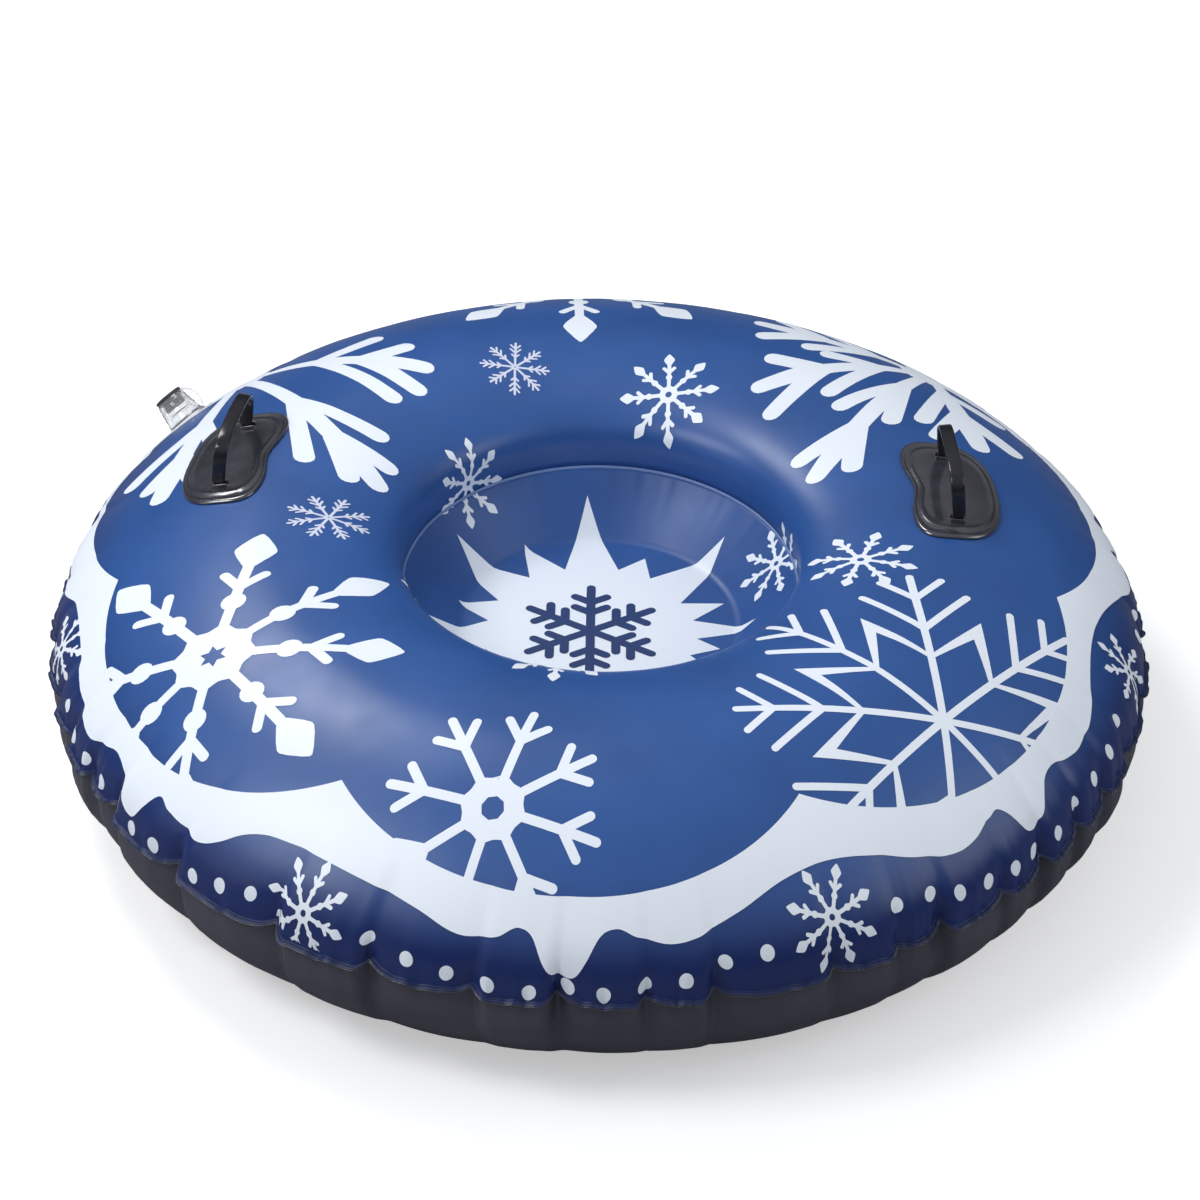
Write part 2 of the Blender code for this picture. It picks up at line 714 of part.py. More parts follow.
def make_tether(parts, materials):
    """Strap bowed out from the stopper's cap to the flange, on the valve's rear side."""
    cap_height = NECK_HEIGHT + SEAT_GAP + STOPPER_CAP / 2
    cap_end = NECK_TIP_RADIUS + SEAT_GAP
    foot_end = NECK_BASE_RADIUS + TETHER_FOOT_REACH
    frame = valve_matrix()
    foot_angle = VALVE_ANGLE - foot_end / math.hypot(frame.translation.x, frame.translation.y)
    foot_lift = FLANGE_SEAT + FLANGE_SHEET + SEAT_GAP
    foot = frame.inverted() @ on_shell(foot_angle, VALVE_ARC, foot_lift)
    places = []
    for step in range(TETHER_STEPS + 1):
        share = step / TETHER_STEPS
        bow = TETHER_BOW * math.sin(math.pi * share)
        reach = cap_end + (-foot.x - cap_end) * share + bow
        rise = cap_height + (foot.z - cap_height) * share**TETHER_DROP_POWER
        places.append(frame @ Vector((-reach, 0, rise)))
    across = frame.to_3x3() @ Vector((0, 1, 0))
    stations = []
    for index, place in enumerate(places):
        after = places[min(index + 1, TETHER_STEPS)]
        heading = (after - places[max(index - 1, 0)]).normalized()
        stations.append((place, across, across.cross(heading), TETHER_WIDTH, TETHER_THICKNESS))
    shape = sweep_band(stations, TETHER_EDGE)
    mesh = bpy.data.meshes.new("valve_tether")
    shape.to_mesh(mesh)
    shape.free()
    smooth(mesh)
    add_object("valve_tether", mesh, parts, materials["clear"])


def main():
    clear_scene()
    parts = new_collection("snow_tube")
    cutters = new_collection("cutters")
    materials = {
        "print": make_material("printed_vinyl", PRINT_BLUE, 0.38),
        "panel": make_material("panel_vinyl", PRINT_BLUE, 0.42),
        "lower": make_material("lower_vinyl", LOWER_BLACK, 0.45),
        "handle": make_material("handle_vinyl", HANDLE_BLACK, 0.30),
        "clear": make_material("clear_vinyl", CLEAR_VINYL, 0.12, alpha=0.45),
        "stopper": make_material("stopper_vinyl", STOPPER_GREY, 0.20),
    }
    make_skins(parts, cutters, materials)
    make_seat_panel(parts, materials)
    for side in ("left", "right"):
        make_patch(side, parts, cutters, materials)
        make_strap(side, parts, materials)
    make_valve_body(parts, cutters, materials)
    make_stopper(parts, materials)
    make_flap(parts, materials)
    make_tether(parts, materials)


main()
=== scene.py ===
"""Looks of the inflatable snow tube: puckered vinyl skins with their snowflake print, the seat
panel, moulded handles, the clear valve, a pale studio and the photograph's camera. Metres."""

import math
import random

import bmesh
import bpy
import numpy as np
from mathutils import Matrix, Vector
from mathutils.geometry import delaunay_2d_cdt


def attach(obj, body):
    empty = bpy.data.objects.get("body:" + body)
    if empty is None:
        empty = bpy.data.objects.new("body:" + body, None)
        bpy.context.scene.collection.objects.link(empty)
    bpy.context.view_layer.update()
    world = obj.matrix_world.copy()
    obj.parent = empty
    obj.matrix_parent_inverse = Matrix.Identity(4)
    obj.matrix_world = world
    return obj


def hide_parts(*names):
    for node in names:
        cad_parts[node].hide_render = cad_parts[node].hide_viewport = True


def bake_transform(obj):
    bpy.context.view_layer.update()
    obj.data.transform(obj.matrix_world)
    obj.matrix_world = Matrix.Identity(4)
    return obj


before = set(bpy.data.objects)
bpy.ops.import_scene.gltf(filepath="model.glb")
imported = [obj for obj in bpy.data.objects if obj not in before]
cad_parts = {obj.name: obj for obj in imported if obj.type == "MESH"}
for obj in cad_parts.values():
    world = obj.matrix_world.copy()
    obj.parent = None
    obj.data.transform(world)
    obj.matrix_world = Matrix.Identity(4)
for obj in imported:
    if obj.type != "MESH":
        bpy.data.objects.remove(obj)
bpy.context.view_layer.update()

# Tube section, as in the part's source
TUBE_RADIUS = 0.480
TUBE_HEIGHT = 0.230
SEAM_HEIGHT = 0.114
CREST_RADIUS = 0.290
WELL_RADIUS = 0.173
WAIST_HEIGHT = 0.189
WELD_RADIUS = 0.174
WELD_HEIGHT = 0.163
CONTACT_WIDTH = 0.070
OUTER_SHOULDER_POWER = 1.65
INNER_SHOULDER_POWER = 2.35
BELLY_POWER = 2.6
INNER_BELLY_POWER = 1.7
TOP_SKIN = 0.0007
BOTTOM_SKIN = 0.0010
SEAM_GAP = 0.0003
PANEL_SHEET = 0.0007
FLOOR_RADIUS = 0.123
FLOOR_HEIGHT = 0.118
FLOOR_EDGE_RADIUS = 0.012
RIM_CLEARANCE = 0.0006

# Weld fin and folds along the outer seam
FIN_WIDTH = 0.0040
FIN_DROOP = 0.0016
FIN_GROOVE = 0.0005
FIN_ROWS = (1, 0.9, 0.72, 0.54, 0.40, 0.30, 0.21, 0.12)
SEAM_PULL = 0.0032
SEAM_PULL_REACH = 0.018
WALL_BULGE = 0.0018
WALL_BULGE_ARC = 0.040
WALL_BULGE_REACH = 0.022
TUCK_DEPTH = 0.0092
LOBE_FULLNESS = 0.0016
SEAM_WAVE = 0.0060
FOLD_REACH = 0.046
LOWER_FOLD_REACH = 0.062
LOWER_FOLD_SHARE = 1.35
WAVE_REACH = 0.040
BROAD_SIDE = 0.0130
NARROW_SIDE = 0.0048
ROLL_HEIGHT = 0.0022
ROLL_WIDTH = 0.0065
ROLL_PLACE = 0.0105
WRINKLE_COUNTS = (3, 5)
SEAM_WRINKLE = 0.0006
SEAM_WRINKLE_REACH = 0.020
FOLD_DRIFT = 0.15
TUCK_SOFTNESS = 0.0010
TUCK_SOFTENING = 0.06
TUCK_WIDENS_OVER = 0.045
FOLD_FADE_POWER = 1.3
WAVE_MIDDLE = 0.35
LOWER_FOLDS_FULL_AT = 0.015
FIN_DROOP_POWER = 1.6
GROOVE_PLACE = 0.0010
GROOVE_WIDTH = 0.0007
COLUMNS_PER_TUCK = 22
COLUMN_EASE = 0.6
MEASURED_TUCKS = (
    (194.2, 0.9), (200.8, 0.9), (207.0, 0.8), (213.0, 1.2), (224.2, 1.25), (237.5, 1.2),
    (248.0, 1.0), (258.5, 0.8), (266.5, 1.2), (275.0, 0.8), (281.5, 1.1), (293.5, 0.8),
    (300.5, 0.6), (306.0, 1.2), (314.0, 0.7), (320.5, 1.2), (327.0, 0.9), (333.2, 0.8),
    (339.5, 0.8),
)
UNSEEN_TUCKS = 22

# Handles, as in the part's source
HANDLE_ANGLES = {"left": math.radians(163.6), "right": math.radians(10.6)}
HANDLE_ARCS = {"left": 0.182, "right": 0.212}
HANDLE_TWISTS = {"left": math.radians(7), "right": math.radians(-6.5)}
PATCH_LENGTH = 0.147
PATCH_WIDTH = 0.082
PATCH_THICKNESS = 0.0026
PATCH_SEAT = 0.0006
PATCH_OUTLINE_POWER = 3.0
PATCH_WAIST = 0.006
PATCH_WAIST_SPREAD_SHARE = 1 / 3
STRAP_SPAN = 0.096
STRAP_WIDTH = 0.012
STRAP_THICKNESS = 0.004
STRAP_RISE = 0.038
STRAP_BULGE = 0.0045
STRAP_LEG = 0.010
STRAP_SIDE_POWER = 0.75
STRAP_TOP_POWER = 0.75
STRAP_LEAN_FROM_UPRIGHT = math.radians(5)
ROOT_CLEARANCE = 0.0004
SOCKET_CLEARANCE = 0.0005

# Valve, as in the part's source
VALVE_ANGLE = math.radians(146.5)
VALVE_ARC = 0.0385
FLANGE_RADIUS = 0.029
FLANGE_SHEET = 0.0010
FLANGE_SEAT = 0.0005
NECK_BASE_RADIUS = 0.0185
NECK_TIP_RADIUS = 0.0138
NECK_HEIGHT = 0.0275
NECK_WALL = 0.0024
NECK_BASE_WALL = 0.0028
SKIRT_DEPTH = 0.009
STRAIGHT_BORE = 0.0155
HOLE_CLEARANCE = 0.0006
STOPPER_CAP = 0.0028
STOPPER_STEM = 0.0125
STOPPER_FIT = 0.0003
STOPPER_RIB = 0.0006
TETHER_WIDTH = 0.005
TETHER_THICKNESS = 0.0012
TETHER_BOW = 0.008
TETHER_FOOT_REACH = 0.0053
TETHER_DROP_POWER = 1.5
SEAT_GAP = 0.0003

# Details of handles and valve that are only in the looks, or differ from the part's source
STRAP_EDGE = 0.0015
STRAP_END_TURN = math.radians(75)
SOCKET_HEIGHT = 0.0030
SOCKET_CHEEK = 0.0018
SOCKET_SHOULDER = 0.001
NECK_RINGS = (0.0225, 0.0170, 0.0115)
TETHER_EDGE = 0.0005

# Print
PRINT_SHEET = 0.00018
FLAKE_LIFT = 0.00034
BAND_LIFT = 0.00048
SEAT_FLAKE_LIFT = 0.00068
PRINT_SPACING = 0.006
FINE_SPACING = 0.004
SEAM_MARGIN = 0.003
PRINT_HOLE_MARGIN = 0.0022
BAND_OVERLAP = 0.006
SWAG_POWER = 2.2

LIGHT_BLUE_WHITE = (0.80, 0.86, 0.95)
LILAC_WHITE = (0.62, 0.66, 0.82)
VINYL_BLUE = (0.022, 0.086, 0.300)
# Painted shade on the outer wall: its blue darkens, by height, to the colour below. It is fully
# dark up to the first height and gone from the second.
PAINTED_WALL_SHADE_BLUE = (0.0055, 0.0210, 0.1250)
PAINTED_SHADE_FULL_UP_TO = 0.135
VINYL_BLUE_FROM = 0.195
# Painted shade: the weld fin's blue is darker than the vinyl, like the wall's painted shade
FIN_PAINTED_SHADE_BLUE = (0.006, 0.018, 0.090)
WELD_BLUE = (0.150, 0.240, 0.480)
SHARP_ANGLE = math.radians(35)

collection = bpy.data.collections.new("snow_tube_looks")
bpy.context.scene.collection.children.link(collection)


# Materials

def wire(node, inputs):
    """Sets inputs, by name or number, to values, or links them to other nodes' sockets."""
    for key, source in inputs.items():
        if isinstance(source, bpy.types.NodeSocket):
            node.id_data.links.new(source, node.inputs[key])
        else:
            node.inputs[key].default_value = source


def add_node(tree, kind, inputs=None, **settings):
    node = tree.nodes.new(kind)
    for key, value in settings.items():
        setattr(node, key, value)
    wire(node, inputs or {})
    return node


def noise(tree, scale, detail, stretch=(1, 1, 1)):
    """Noise in object coordinates, in a scale of features per metre."""
    place = add_node(tree, "ShaderNodeTexCoord").outputs["Object"]
    mapping = add_node(tree, "ShaderNodeMapping", {"Vector": place, "Scale": stretch})
    inputs = {"Vector": mapping.outputs["Vector"], "Scale": scale, "Detail": detail}
    return add_node(tree, "ShaderNodeTexNoise", inputs).outputs["Fac"]


def map_range(tree, source, from_range, to_range=(0, 1), kind="LINEAR"):
    inputs = {"Value": source, "From Min": from_range[0], "From Max": from_range[1]}
    inputs.update({"To Min": to_range[0], "To Max": to_range[1]})
    node = add_node(tree, "ShaderNodeMapRange", inputs, interpolation_type=kind)
    return node.outputs["Result"]


def mix_colours(tree, factor, *colours):
    """Mixes two colours, each a socket or three numbers."""
    first, second = ((*item, 1) if isinstance(item, tuple) else item for item in colours)
    inputs = {"Factor": factor, "A": first, "B": second}
    return add_node(tree, "ShaderNodeMix", inputs, data_type="RGBA").outputs["Result"]


def larger(tree, first, second):
    return add_node(
        tree, "ShaderNodeMath", {0: first, 1: second}, operation="MAXIMUM"
    ).outputs[0]


def scaled(colour, factor):
    return tuple(min(1, channel * factor) for channel in colour)


def plastic(name, colours, mottle, scuffs, roughness, bumps, constants):
    """Plastic of two mottled colours, a range of roughness, and bumps one over the other.

    Mottle and scuffs are (scale, detail) of noise, and each bump is (scale, detail, height).
    """
    material = bpy.data.materials.new(name)
    material.use_nodes = True
    tree = material.node_tree
    shade = map_range(tree, noise(tree, *mottle), NOISE_SPAN)
    inputs = {
        "Base Color": mix_colours(tree, shade, *colours),
        "Roughness": map_range(tree, noise(tree, *scuffs), NOISE_SPAN, roughness),
    }
    before = {}
    for scale, detail, height in bumps:
        bump = {"Strength": 1.0, "Distance": height, "Height": noise(tree, scale, detail)}
        bump = add_node(tree, "ShaderNodeBump", {**bump, **before})
        before = {"Normal": bump.outputs["Normal"]}
    wire(tree.nodes["Principled BSDF"], {**inputs, **before, **constants})
    return material


def vinyl(name, colour, roughness, tint=0.10, grain=0.000006):
    """Satin sheet vinyl: slight mottling, a fine pressed grain and soft unevenness."""
    return plastic(
        name, (scaled(colour, 1 - tint), scaled(colour, 1 + tint)), (9, 3), (26, 4),
        (roughness - 0.03, roughness + 0.04), ((14, 2, 0.0004), (1500, 2, grain)),
        {"Specular IOR Level": 0.5, "Coat Weight": 0.0, "Coat Roughness": 0.3},
    )


def moulded(name, colour, roughness, coat=0.0, shine=0.5):
    """Moulded black vinyl: glossy, with faint flow marks and handling scuffs."""
    return plastic(
        name, (colour, scaled(colour, 1.5)), (60, 5), (220, 6, (1, 1, 0.3)),
        (roughness - 0.04, roughness + 0.10), ((90, 3, 0.00012), (1800, 2, 0.000008)),
        {"Specular IOR Level": shine, "Coat Weight": coat, "Coat Roughness": 0.10},
    )


def clear(name, colour, roughness, weight):
    """Clear moulded vinyl, slightly milky, with a faint ripple."""
    return plastic(
        name, (scaled(colour, 0.9), colour), (180, 3), (240, 3),
        (roughness - 0.02, roughness + 0.03), ((260, 2, 0.00003),),
        {"Transmission Weight": weight, "IOR": 1.5},
    )


def paint_wall_shade(material):
    """Paints shade on the outer wall: mixes the printed blue into a darker blue lower down, by
    height.
    """
    tree = material.node_tree
    shader = tree.nodes["Principled BSDF"]
    upper = shader.inputs["Base Color"].links[0].from_socket
    place = add_node(tree, "ShaderNodeTexCoord").outputs["Object"]
    parts = add_node(tree, "ShaderNodeSeparateXYZ", {"Vector": place})
    height = map_range(
        tree, parts.outputs["Z"], (PAINTED_SHADE_FULL_UP_TO, VINYL_BLUE_FROM), kind="SMOOTHSTEP"
    )
    flat = add_node(tree, "ShaderNodeVectorMath", {0: place, 1: (1, 1, 0)}, operation="MULTIPLY")
    radius = add_node(
        tree, "ShaderNodeVectorMath", {0: flat.outputs["Vector"]}, operation="LENGTH"
    )
    inside = map_range(tree, radius.outputs["Value"], (CREST_RADIUS, WELL_RADIUS))
    share = larger(tree, height, inside)
    wire(shader, {"Base Color": mix_colours(tree, share, PAINTED_WALL_SHADE_BLUE, upper)})
    return material


# Where noise mostly lies, between 0 and 1
NOISE_SPAN = (0.3, 0.7)
MATERIALS = {
    # The blue vinyl carries painted shade: darker on the lower outer wall
    "blue": paint_wall_shade(vinyl("blue_vinyl", VINYL_BLUE, 0.36)),
    "white": vinyl("white_print", LIGHT_BLUE_WHITE, 0.42, tint=0.02),
    "lilac": vinyl("lilac_print", LILAC_WHITE, 0.42, tint=0.03),
    # The fin's darker blue is painted shade
    "fin": vinyl("fin_vinyl", FIN_PAINTED_SHADE_BLUE, 0.50),
    "weld": vinyl("weld_vinyl", WELD_BLUE, 0.36),
    "panel": vinyl("panel_vinyl_looks", VINYL_BLUE, 0.42),
    "panel_blue": vinyl("panel_blue_print", (0.014, 0.040, 0.150), 0.42),
    "black": vinyl("black_vinyl", (0.054, 0.055, 0.074), 0.36, tint=0.15, grain=0.000012),
    "pad": moulded("glossy_black_vinyl", (0.028, 0.028, 0.038), 0.18, coat=0.9, shine=1.0),
    "handle": moulded("moulded_black_vinyl", (0.012, 0.012, 0.016), 0.15),
    "clear": clear("clear_moulded_vinyl", (0.95, 0.96, 0.985), 0.15, 0.92),
    "stopper": clear("smoky_stopper_vinyl", (0.060, 0.062, 0.075), 0.36, 0.12),
}


# Section of the tube

def polar(radius, angle, centre=(0, 0)):
    return centre[0] + radius * math.cos(angle), centre[1] + radius * math.sin(angle)


def signed_power(value, power):
    return math.copysign(abs(value) ** power, value)


def superellipse(centre, reach, rise, power, first, last, steps):
    """Points on a superellipse between two angles in degrees, counted from the outer side."""
    points = []
    for step in range(steps + 1):
        angle = math.radians(first + (last - first) * step / steps)
        across, up = (signed_power(share, 2 / power) for share in polar(1, angle))
        points.append((centre[0] + reach * across, centre[1] + rise * up))
    return points


def seat_wall():
    run, drop = WELD_RADIUS - FLOOR_RADIUS, WELD_HEIGHT - FLOOR_HEIGHT
    span = math.hypot(run, drop)
    stack = SEAM_GAP + PANEL_SHEET
    return math.atan2(drop, run) + math.asin(stack / span), math.sqrt(span**2 - stack**2)


SEAT_SLOPE, SEAT_WALL_LENGTH = seat_wall()
FILLET_SETBACK = FLOOR_EDGE_RADIUS * math.tan(SEAT_SLOPE / 2)


def top_wall(steps):
    seam = SEAM_HEIGHT + SEAM_GAP / 2 + TOP_SKIN
    outer = superellipse(
        (CREST_RADIUS, seam), TUBE_RADIUS - CREST_RADIUS, TUBE_HEIGHT - seam,
        OUTER_SHOULDER_POWER, 0, 90, steps,
    )
    inner = superellipse(
        (CREST_RADIUS, WAIST_HEIGHT), CREST_RADIUS - WELL_RADIUS, TUBE_HEIGHT - WAIST_HEIGHT,
        INNER_SHOULDER_POWER, 90, 180, steps,
    )
    return outer + inner[1:] + [(WELD_RADIUS, WELD_HEIGHT)]


def bottom_wall(steps):
    seam = SEAM_HEIGHT - SEAM_GAP / 2 - BOTTOM_SKIN
    seat_seam = FLOOR_HEIGHT - PANEL_SHEET - SEAM_GAP - BOTTOM_SKIN
    outer_centre = CREST_RADIUS + CONTACT_WIDTH / 2
    inner_centre = CREST_RADIUS - CONTACT_WIDTH / 2
    outer = superellipse(
        (outer_centre, seam), TUBE_RADIUS - outer_centre, seam, BELLY_POWER, 0, -90, steps
    )
    inner = superellipse(
        (inner_centre, seat_seam), inner_centre - (FLOOR_RADIUS - FILLET_SETBACK), seat_seam,
        INNER_BELLY_POWER, -90, -180, steps,
    )
    return outer + inner


def panel_wall(steps):
    """Upper face of the seat panel from its centre to its rim."""
    points = [(0, FLOOR_HEIGHT), (FLOOR_RADIUS - FILLET_SETBACK, FLOOR_HEIGHT)]
    for step in range(1, steps + 1):
        turn = SEAT_SLOPE * step / steps
        points.append((
            FLOOR_RADIUS - FILLET_SETBACK + FLOOR_EDGE_RADIUS * math.sin(turn),
            FLOOR_HEIGHT + FLOOR_EDGE_RADIUS * (1 - math.cos(turn)),
        ))
    reach = SEAT_WALL_LENGTH - RIM_CLEARANCE
    points.append((
        FLOOR_RADIUS + reach * math.cos(SEAT_SLOPE), FLOOR_HEIGHT + reach * math.sin(SEAT_SLOPE)
    ))
    return points


class Section:
    """A section's points by arc length from its first point."""

    def __init__(self, points):
        self.points = np.array(points)
        steps = np.hypot(*np.diff(self.points, axis=0).T)
        self.arcs = np.concatenate([[0], np.cumsum(steps)])
        self.length = self.arcs[-1]

    def at(self, arc):
        radius = np.interp(arc, self.arcs, self.points[:, 0])
        return radius, np.interp(arc, self.arcs, self.points[:, 1])


TOP = Section(top_wall(200))
BOTTOM = Section(bottom_wall(120))
PANEL = Section(panel_wall(12))
FLAT_RADIUS = TOP.length + PANEL.length + FILLET_SETBACK / 2


# Folds along the outer seam

def lay_out_tucks():
    """Angle, strength and skew of each tuck: those measured, and others on the unseen side."""
    draw = random.Random(5)
    tucks = [(math.radians(angle), strength) for angle, strength in MEASURED_TUCKS]
    first = tucks[-1][0]
    gap = (tucks[0][0] + math.tau - first) / (UNSEEN_TUCKS + 1)
    for index in range(1, UNSEEN_TUCKS + 1):
        shift = gap * draw.uniform(-0.25, 0.25)
        tucks.append((first + gap * index + shift, draw.uniform(0.45, 0.85)))
    tucks = sorted((angle % math.tau, strength) for angle, strength in tucks)
    sides = [draw.choice((-1, 1)) for _ in tucks]
    phases = [draw.uniform(0, math.tau) for _ in tucks]
    angles, strengths = np.array([*tucks, (tucks[0][0] + math.tau, tucks[0][1])]).T
    return angles, strengths, np.array(sides + sides[:1]), np.array(phases)


TUCK_ANGLES, TUCK_STRENGTHS, TUCK_SIDES, LOBE_PHASES = lay_out_tucks()


def around_from_valve(angle):
    return (angle - VALVE_ANGLE + math.pi) % math.tau - math.pi


def valve_calm(angle):
    """No folds under the valve's flange, and all of them a flange's radius further off."""
    apart = np.abs(around_from_valve(angle)) * TUBE_RADIUS
    return np.clip((apart - FLANGE_RADIUS) / FLANGE_RADIUS, 0, 1)


def one_tuck(away, near, steep):
    """Depth and roll of the skin beside a tuck, at a distance from its crease."""
    width = np.where(steep, NARROW_SIDE, BROAD_SIDE) * (1 + near / TUCK_WIDENS_OVER)
    soft = TUCK_SOFTNESS + near * TUCK_SOFTENING
    valley = np.exp(-(np.sqrt(away**2 + soft**2) - soft) / width)
    roll = np.where(steep, ROLL_HEIGHT, 0) * np.exp(-(((away - ROLL_PLACE) / ROLL_WIDTH) ** 2))
    return np.array((valley, roll))


def seam_folds(angle, distance, reach):
    """Outward shift and rise of a skin at an angle and a distance from the outer seam."""
    turned = (angle - FOLD_DRIFT * distance - TUCK_ANGLES[0]) % math.tau + TUCK_ANGLES[0]
    lobe = np.clip(np.searchsorted(TUCK_ANGLES, turned, side="right") - 1, 0, len(LOBE_PHASES) - 1)
    start, end = TUCK_ANGLES[lobe], TUCK_ANGLES[lobe + 1]
    share = np.clip((turned - start) / (end - start), 0, 1)
    near, calm, arch = np.maximum(distance, 0), valve_calm(angle), np.sin(math.pi * share)
    valley, roll = sum(
        TUCK_STRENGTHS[tuck] * one_tuck(away * TUBE_RADIUS, near, TUCK_SIDES[tuck] == side)
        for tuck, away, side in ((lobe, turned - start, 1), (lobe + 1, end - turned, -1))
    )
    waves = sum(np.sin(count * (math.tau * share + LOBE_PHASES[lobe])) for count in WRINKLE_COUNTS)
    wrinkle = SEAM_WRINKLE * waves * arch * np.exp(-near / SEAM_WRINKLE_REACH)
    fold = LOBE_FULLNESS * arch + roll - TUCK_DEPTH * valley
    outward = fold * np.exp(-((near / reach) ** FOLD_FADE_POWER)) + wrinkle
    rise = (SEAM_WAVE * (valley - WAVE_MIDDLE) + 2 * wrinkle) * np.exp(-((near / WAVE_REACH) ** 2))
    return outward * calm, rise * calm


def wall_bulge(arc):
    """Outward shift of both skins: drawn in at the seam, and the upper one full above it."""
    near = np.maximum(arc, 0)
    full = WALL_BULGE * np.exp(-(((near - WALL_BULGE_ARC) / WALL_BULGE_REACH) ** 2))
    return full - SEAM_PULL * np.exp(-((near / SEAM_PULL_REACH) ** 2))


def fin_rise(arc):
    """Height of the weld fin's face over the seam's, for an arc below 0."""
    out = -np.minimum(arc, 0)
    groove = np.exp(-(((out - GROOVE_PLACE) / GROOVE_WIDTH) ** 2)) * (out > 0)
    return -FIN_DROOP * (out / FIN_WIDTH) ** FIN_DROOP_POWER - FIN_GROOVE * groove


def turned_point(angle, radius, height):
    return np.stack([radius * np.cos(angle), radius * np.sin(angle), height], axis=-1)


def skin_point(section, angle, arc, reach, deepening=0.0):
    """Outer face of a skin. Arcs below 0 lie on the weld fin."""
    radius, height = section.at(np.maximum(arc, 0))
    outward, rise = seam_folds(angle, arc, reach)
    deeper = 1 + deepening * np.clip(arc / LOWER_FOLDS_FULL_AT, 0, 1)
    radius = radius + outward * deeper + wall_bulge(arc) - np.minimum(arc, 0)
    return turned_point(angle, radius, height + rise + fin_rise(arc))


def top_point(angle, arc):
    return skin_point(TOP, angle, arc, FOLD_REACH)


def bottom_point(angle, arc):
    return skin_point(BOTTOM, angle, arc, LOWER_FOLD_REACH, LOWER_FOLD_SHARE - 1)


WRINKLES = [(37, 0.3, 1.0), (53, 1.9, 0.8), (71, 4.1, 0.7), (94, 2.7, 0.5), (23, 5.2, 0.6)]
WRINKLE_HEIGHT = 0.00035
WRINKLE_REACH = 0.016
WRINKLES_FROM = 0.25
WRINKLES_FACE = math.radians(50)
LEAST_WRINKLES = 0.35


def panel_point(angle, arc):
    """Upper face of the seat panel, wrinkled under its weld, mostly at the back and right."""
    radius, height = PANEL.at(arc)
    below = (PANEL.length - arc) / WRINKLE_REACH
    wave = sum(size * np.sin(count * angle + phase) for count, phase, size in WRINKLES)
    facing = np.clip(np.cos(angle - WRINKLES_FACE), 0, 1)
    place = LEAST_WRINKLES + (1 - LEAST_WRINKLES) * facing
    fade = np.exp(-below) * np.clip(below / WRINKLES_FROM, 0, 1)
    shift = WRINKLE_HEIGHT * wave * place * fade
    return turned_point(angle, radius, height + shift)


def sheet_point(angle, arc):
    """The upper skin, and past its inner weld the seat panel, as one printed sheet."""
    past = np.maximum(arc - TOP.length, 0)
    on_skin = top_point(angle, np.minimum(arc, TOP.length))
    beyond = panel_point(angle, np.maximum(PANEL.length - past, 0))
    return np.where((past > 0)[..., None], beyond, on_skin)


def lifted(point_at, angle, arc, lift):
    """Points at a height over a surface, along its normal."""
    step = 0.0004
    radius = np.maximum(np.hypot(*point_at(angle, arc)[..., :2].T).T, 0.01)
    turn = step / radius
    around = point_at(angle + turn, arc) - point_at(angle - turn, arc)
    along = point_at(angle, arc + step) - point_at(angle, arc - step)
    normal = np.cross(around, along)
    normal /= np.linalg.norm(normal, axis=-1, keepdims=True)
    return point_at(angle, arc) + normal * lift


# Mesh helpers

def link_mesh(name, mesh, colour, body="root", smooth=True):
    mesh.materials.append(MATERIALS[colour])
    if smooth:
        mesh.shade_smooth()
    item = bpy.data.objects.new(name, mesh)
    collection.objects.link(item)
    if body:
        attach(item, body)
    return item


def add_object(name, points, faces, colour, **settings):
    mesh = bpy.data.meshes.new(name)
    mesh.from_pydata([tuple(map(float, point)) for point in points], [], faces)
    mesh.update()
    return link_mesh(name, mesh, colour, **settings)


def grid_faces(columns, rows, closed=False):
    """Quads of a grid stored column by column, all round. If closed, the rows meet too."""
    faces = []
    for column in range(columns):
        here, there = column * rows, (column + 1) % columns * rows
        for row in range(rows if closed else rows - 1):
            above = (row + 1) % rows
            faces.append((here + row, there + row, there + above, here + above))
    return faces


def rod_faces(rings, count):
    """Faces of a capped rod whose points are stored ring by ring."""
    faces = [tuple(reversed(range(count)))]
    for here in range(0, (rings - 1) * count, count):
        for side in range(count):
            beside, there = (side + 1) % count, here + count
            faces.append((here + side, here + beside, there + beside, there + side))
    return faces + [tuple(range((rings - 1) * count, rings * count))]


def renumbered(faces):
    """The corners that faces use, and the faces in numbers of these."""
    used = sorted({corner for face in faces for corner in face})
    numbers = {corner: index for index, corner in enumerate(used)}
    return used, [tuple(numbers[corner] for corner in face) for face in faces]


def mend(item, sharp=False):
    """Merges doubled points, turns all faces outwards, and marks sharp edges if asked."""
    shape = bmesh.new()
    shape.from_mesh(item.data)
    bmesh.ops.remove_doubles(shape, verts=shape.verts, dist=1e-6)
    bmesh.ops.recalc_face_normals(shape, faces=shape.faces)
    shape.to_mesh(item.data)
    shape.free()
    if sharp:
        item.data.set_sharp_from_angle(angle=SHARP_ANGLE)


def give_thickness(item, thickness):
    """Thickness inwards from the faces."""
    item.modifiers.new("sheet", "SOLIDIFY").thickness = thickness


# Skins

def column_angles():
    """Column angles, closer together at the tucks."""
    angles = []
    for start, end in zip(TUCK_ANGLES, TUCK_ANGLES[1:]):
        for step in range(COLUMNS_PER_TUCK):
            share = step / COLUMNS_PER_TUCK
            eased = (1 - math.cos(math.pi * share)) / 2
            place = (1 - COLUMN_EASE) * share + COLUMN_EASE * eased
            angles.append(start + (end - start) * place)
    return np.array(angles)


def row_arcs(length, fine_to, fine, coarse):
    fin = [-FIN_WIDTH * share for share in FIN_ROWS]
    near = list(np.arange(0, fine_to, fine))
    count = math.ceil((length - fine_to) / coarse)
    return np.array(fin + near + list(np.linspace(fine_to, length, count + 1)))


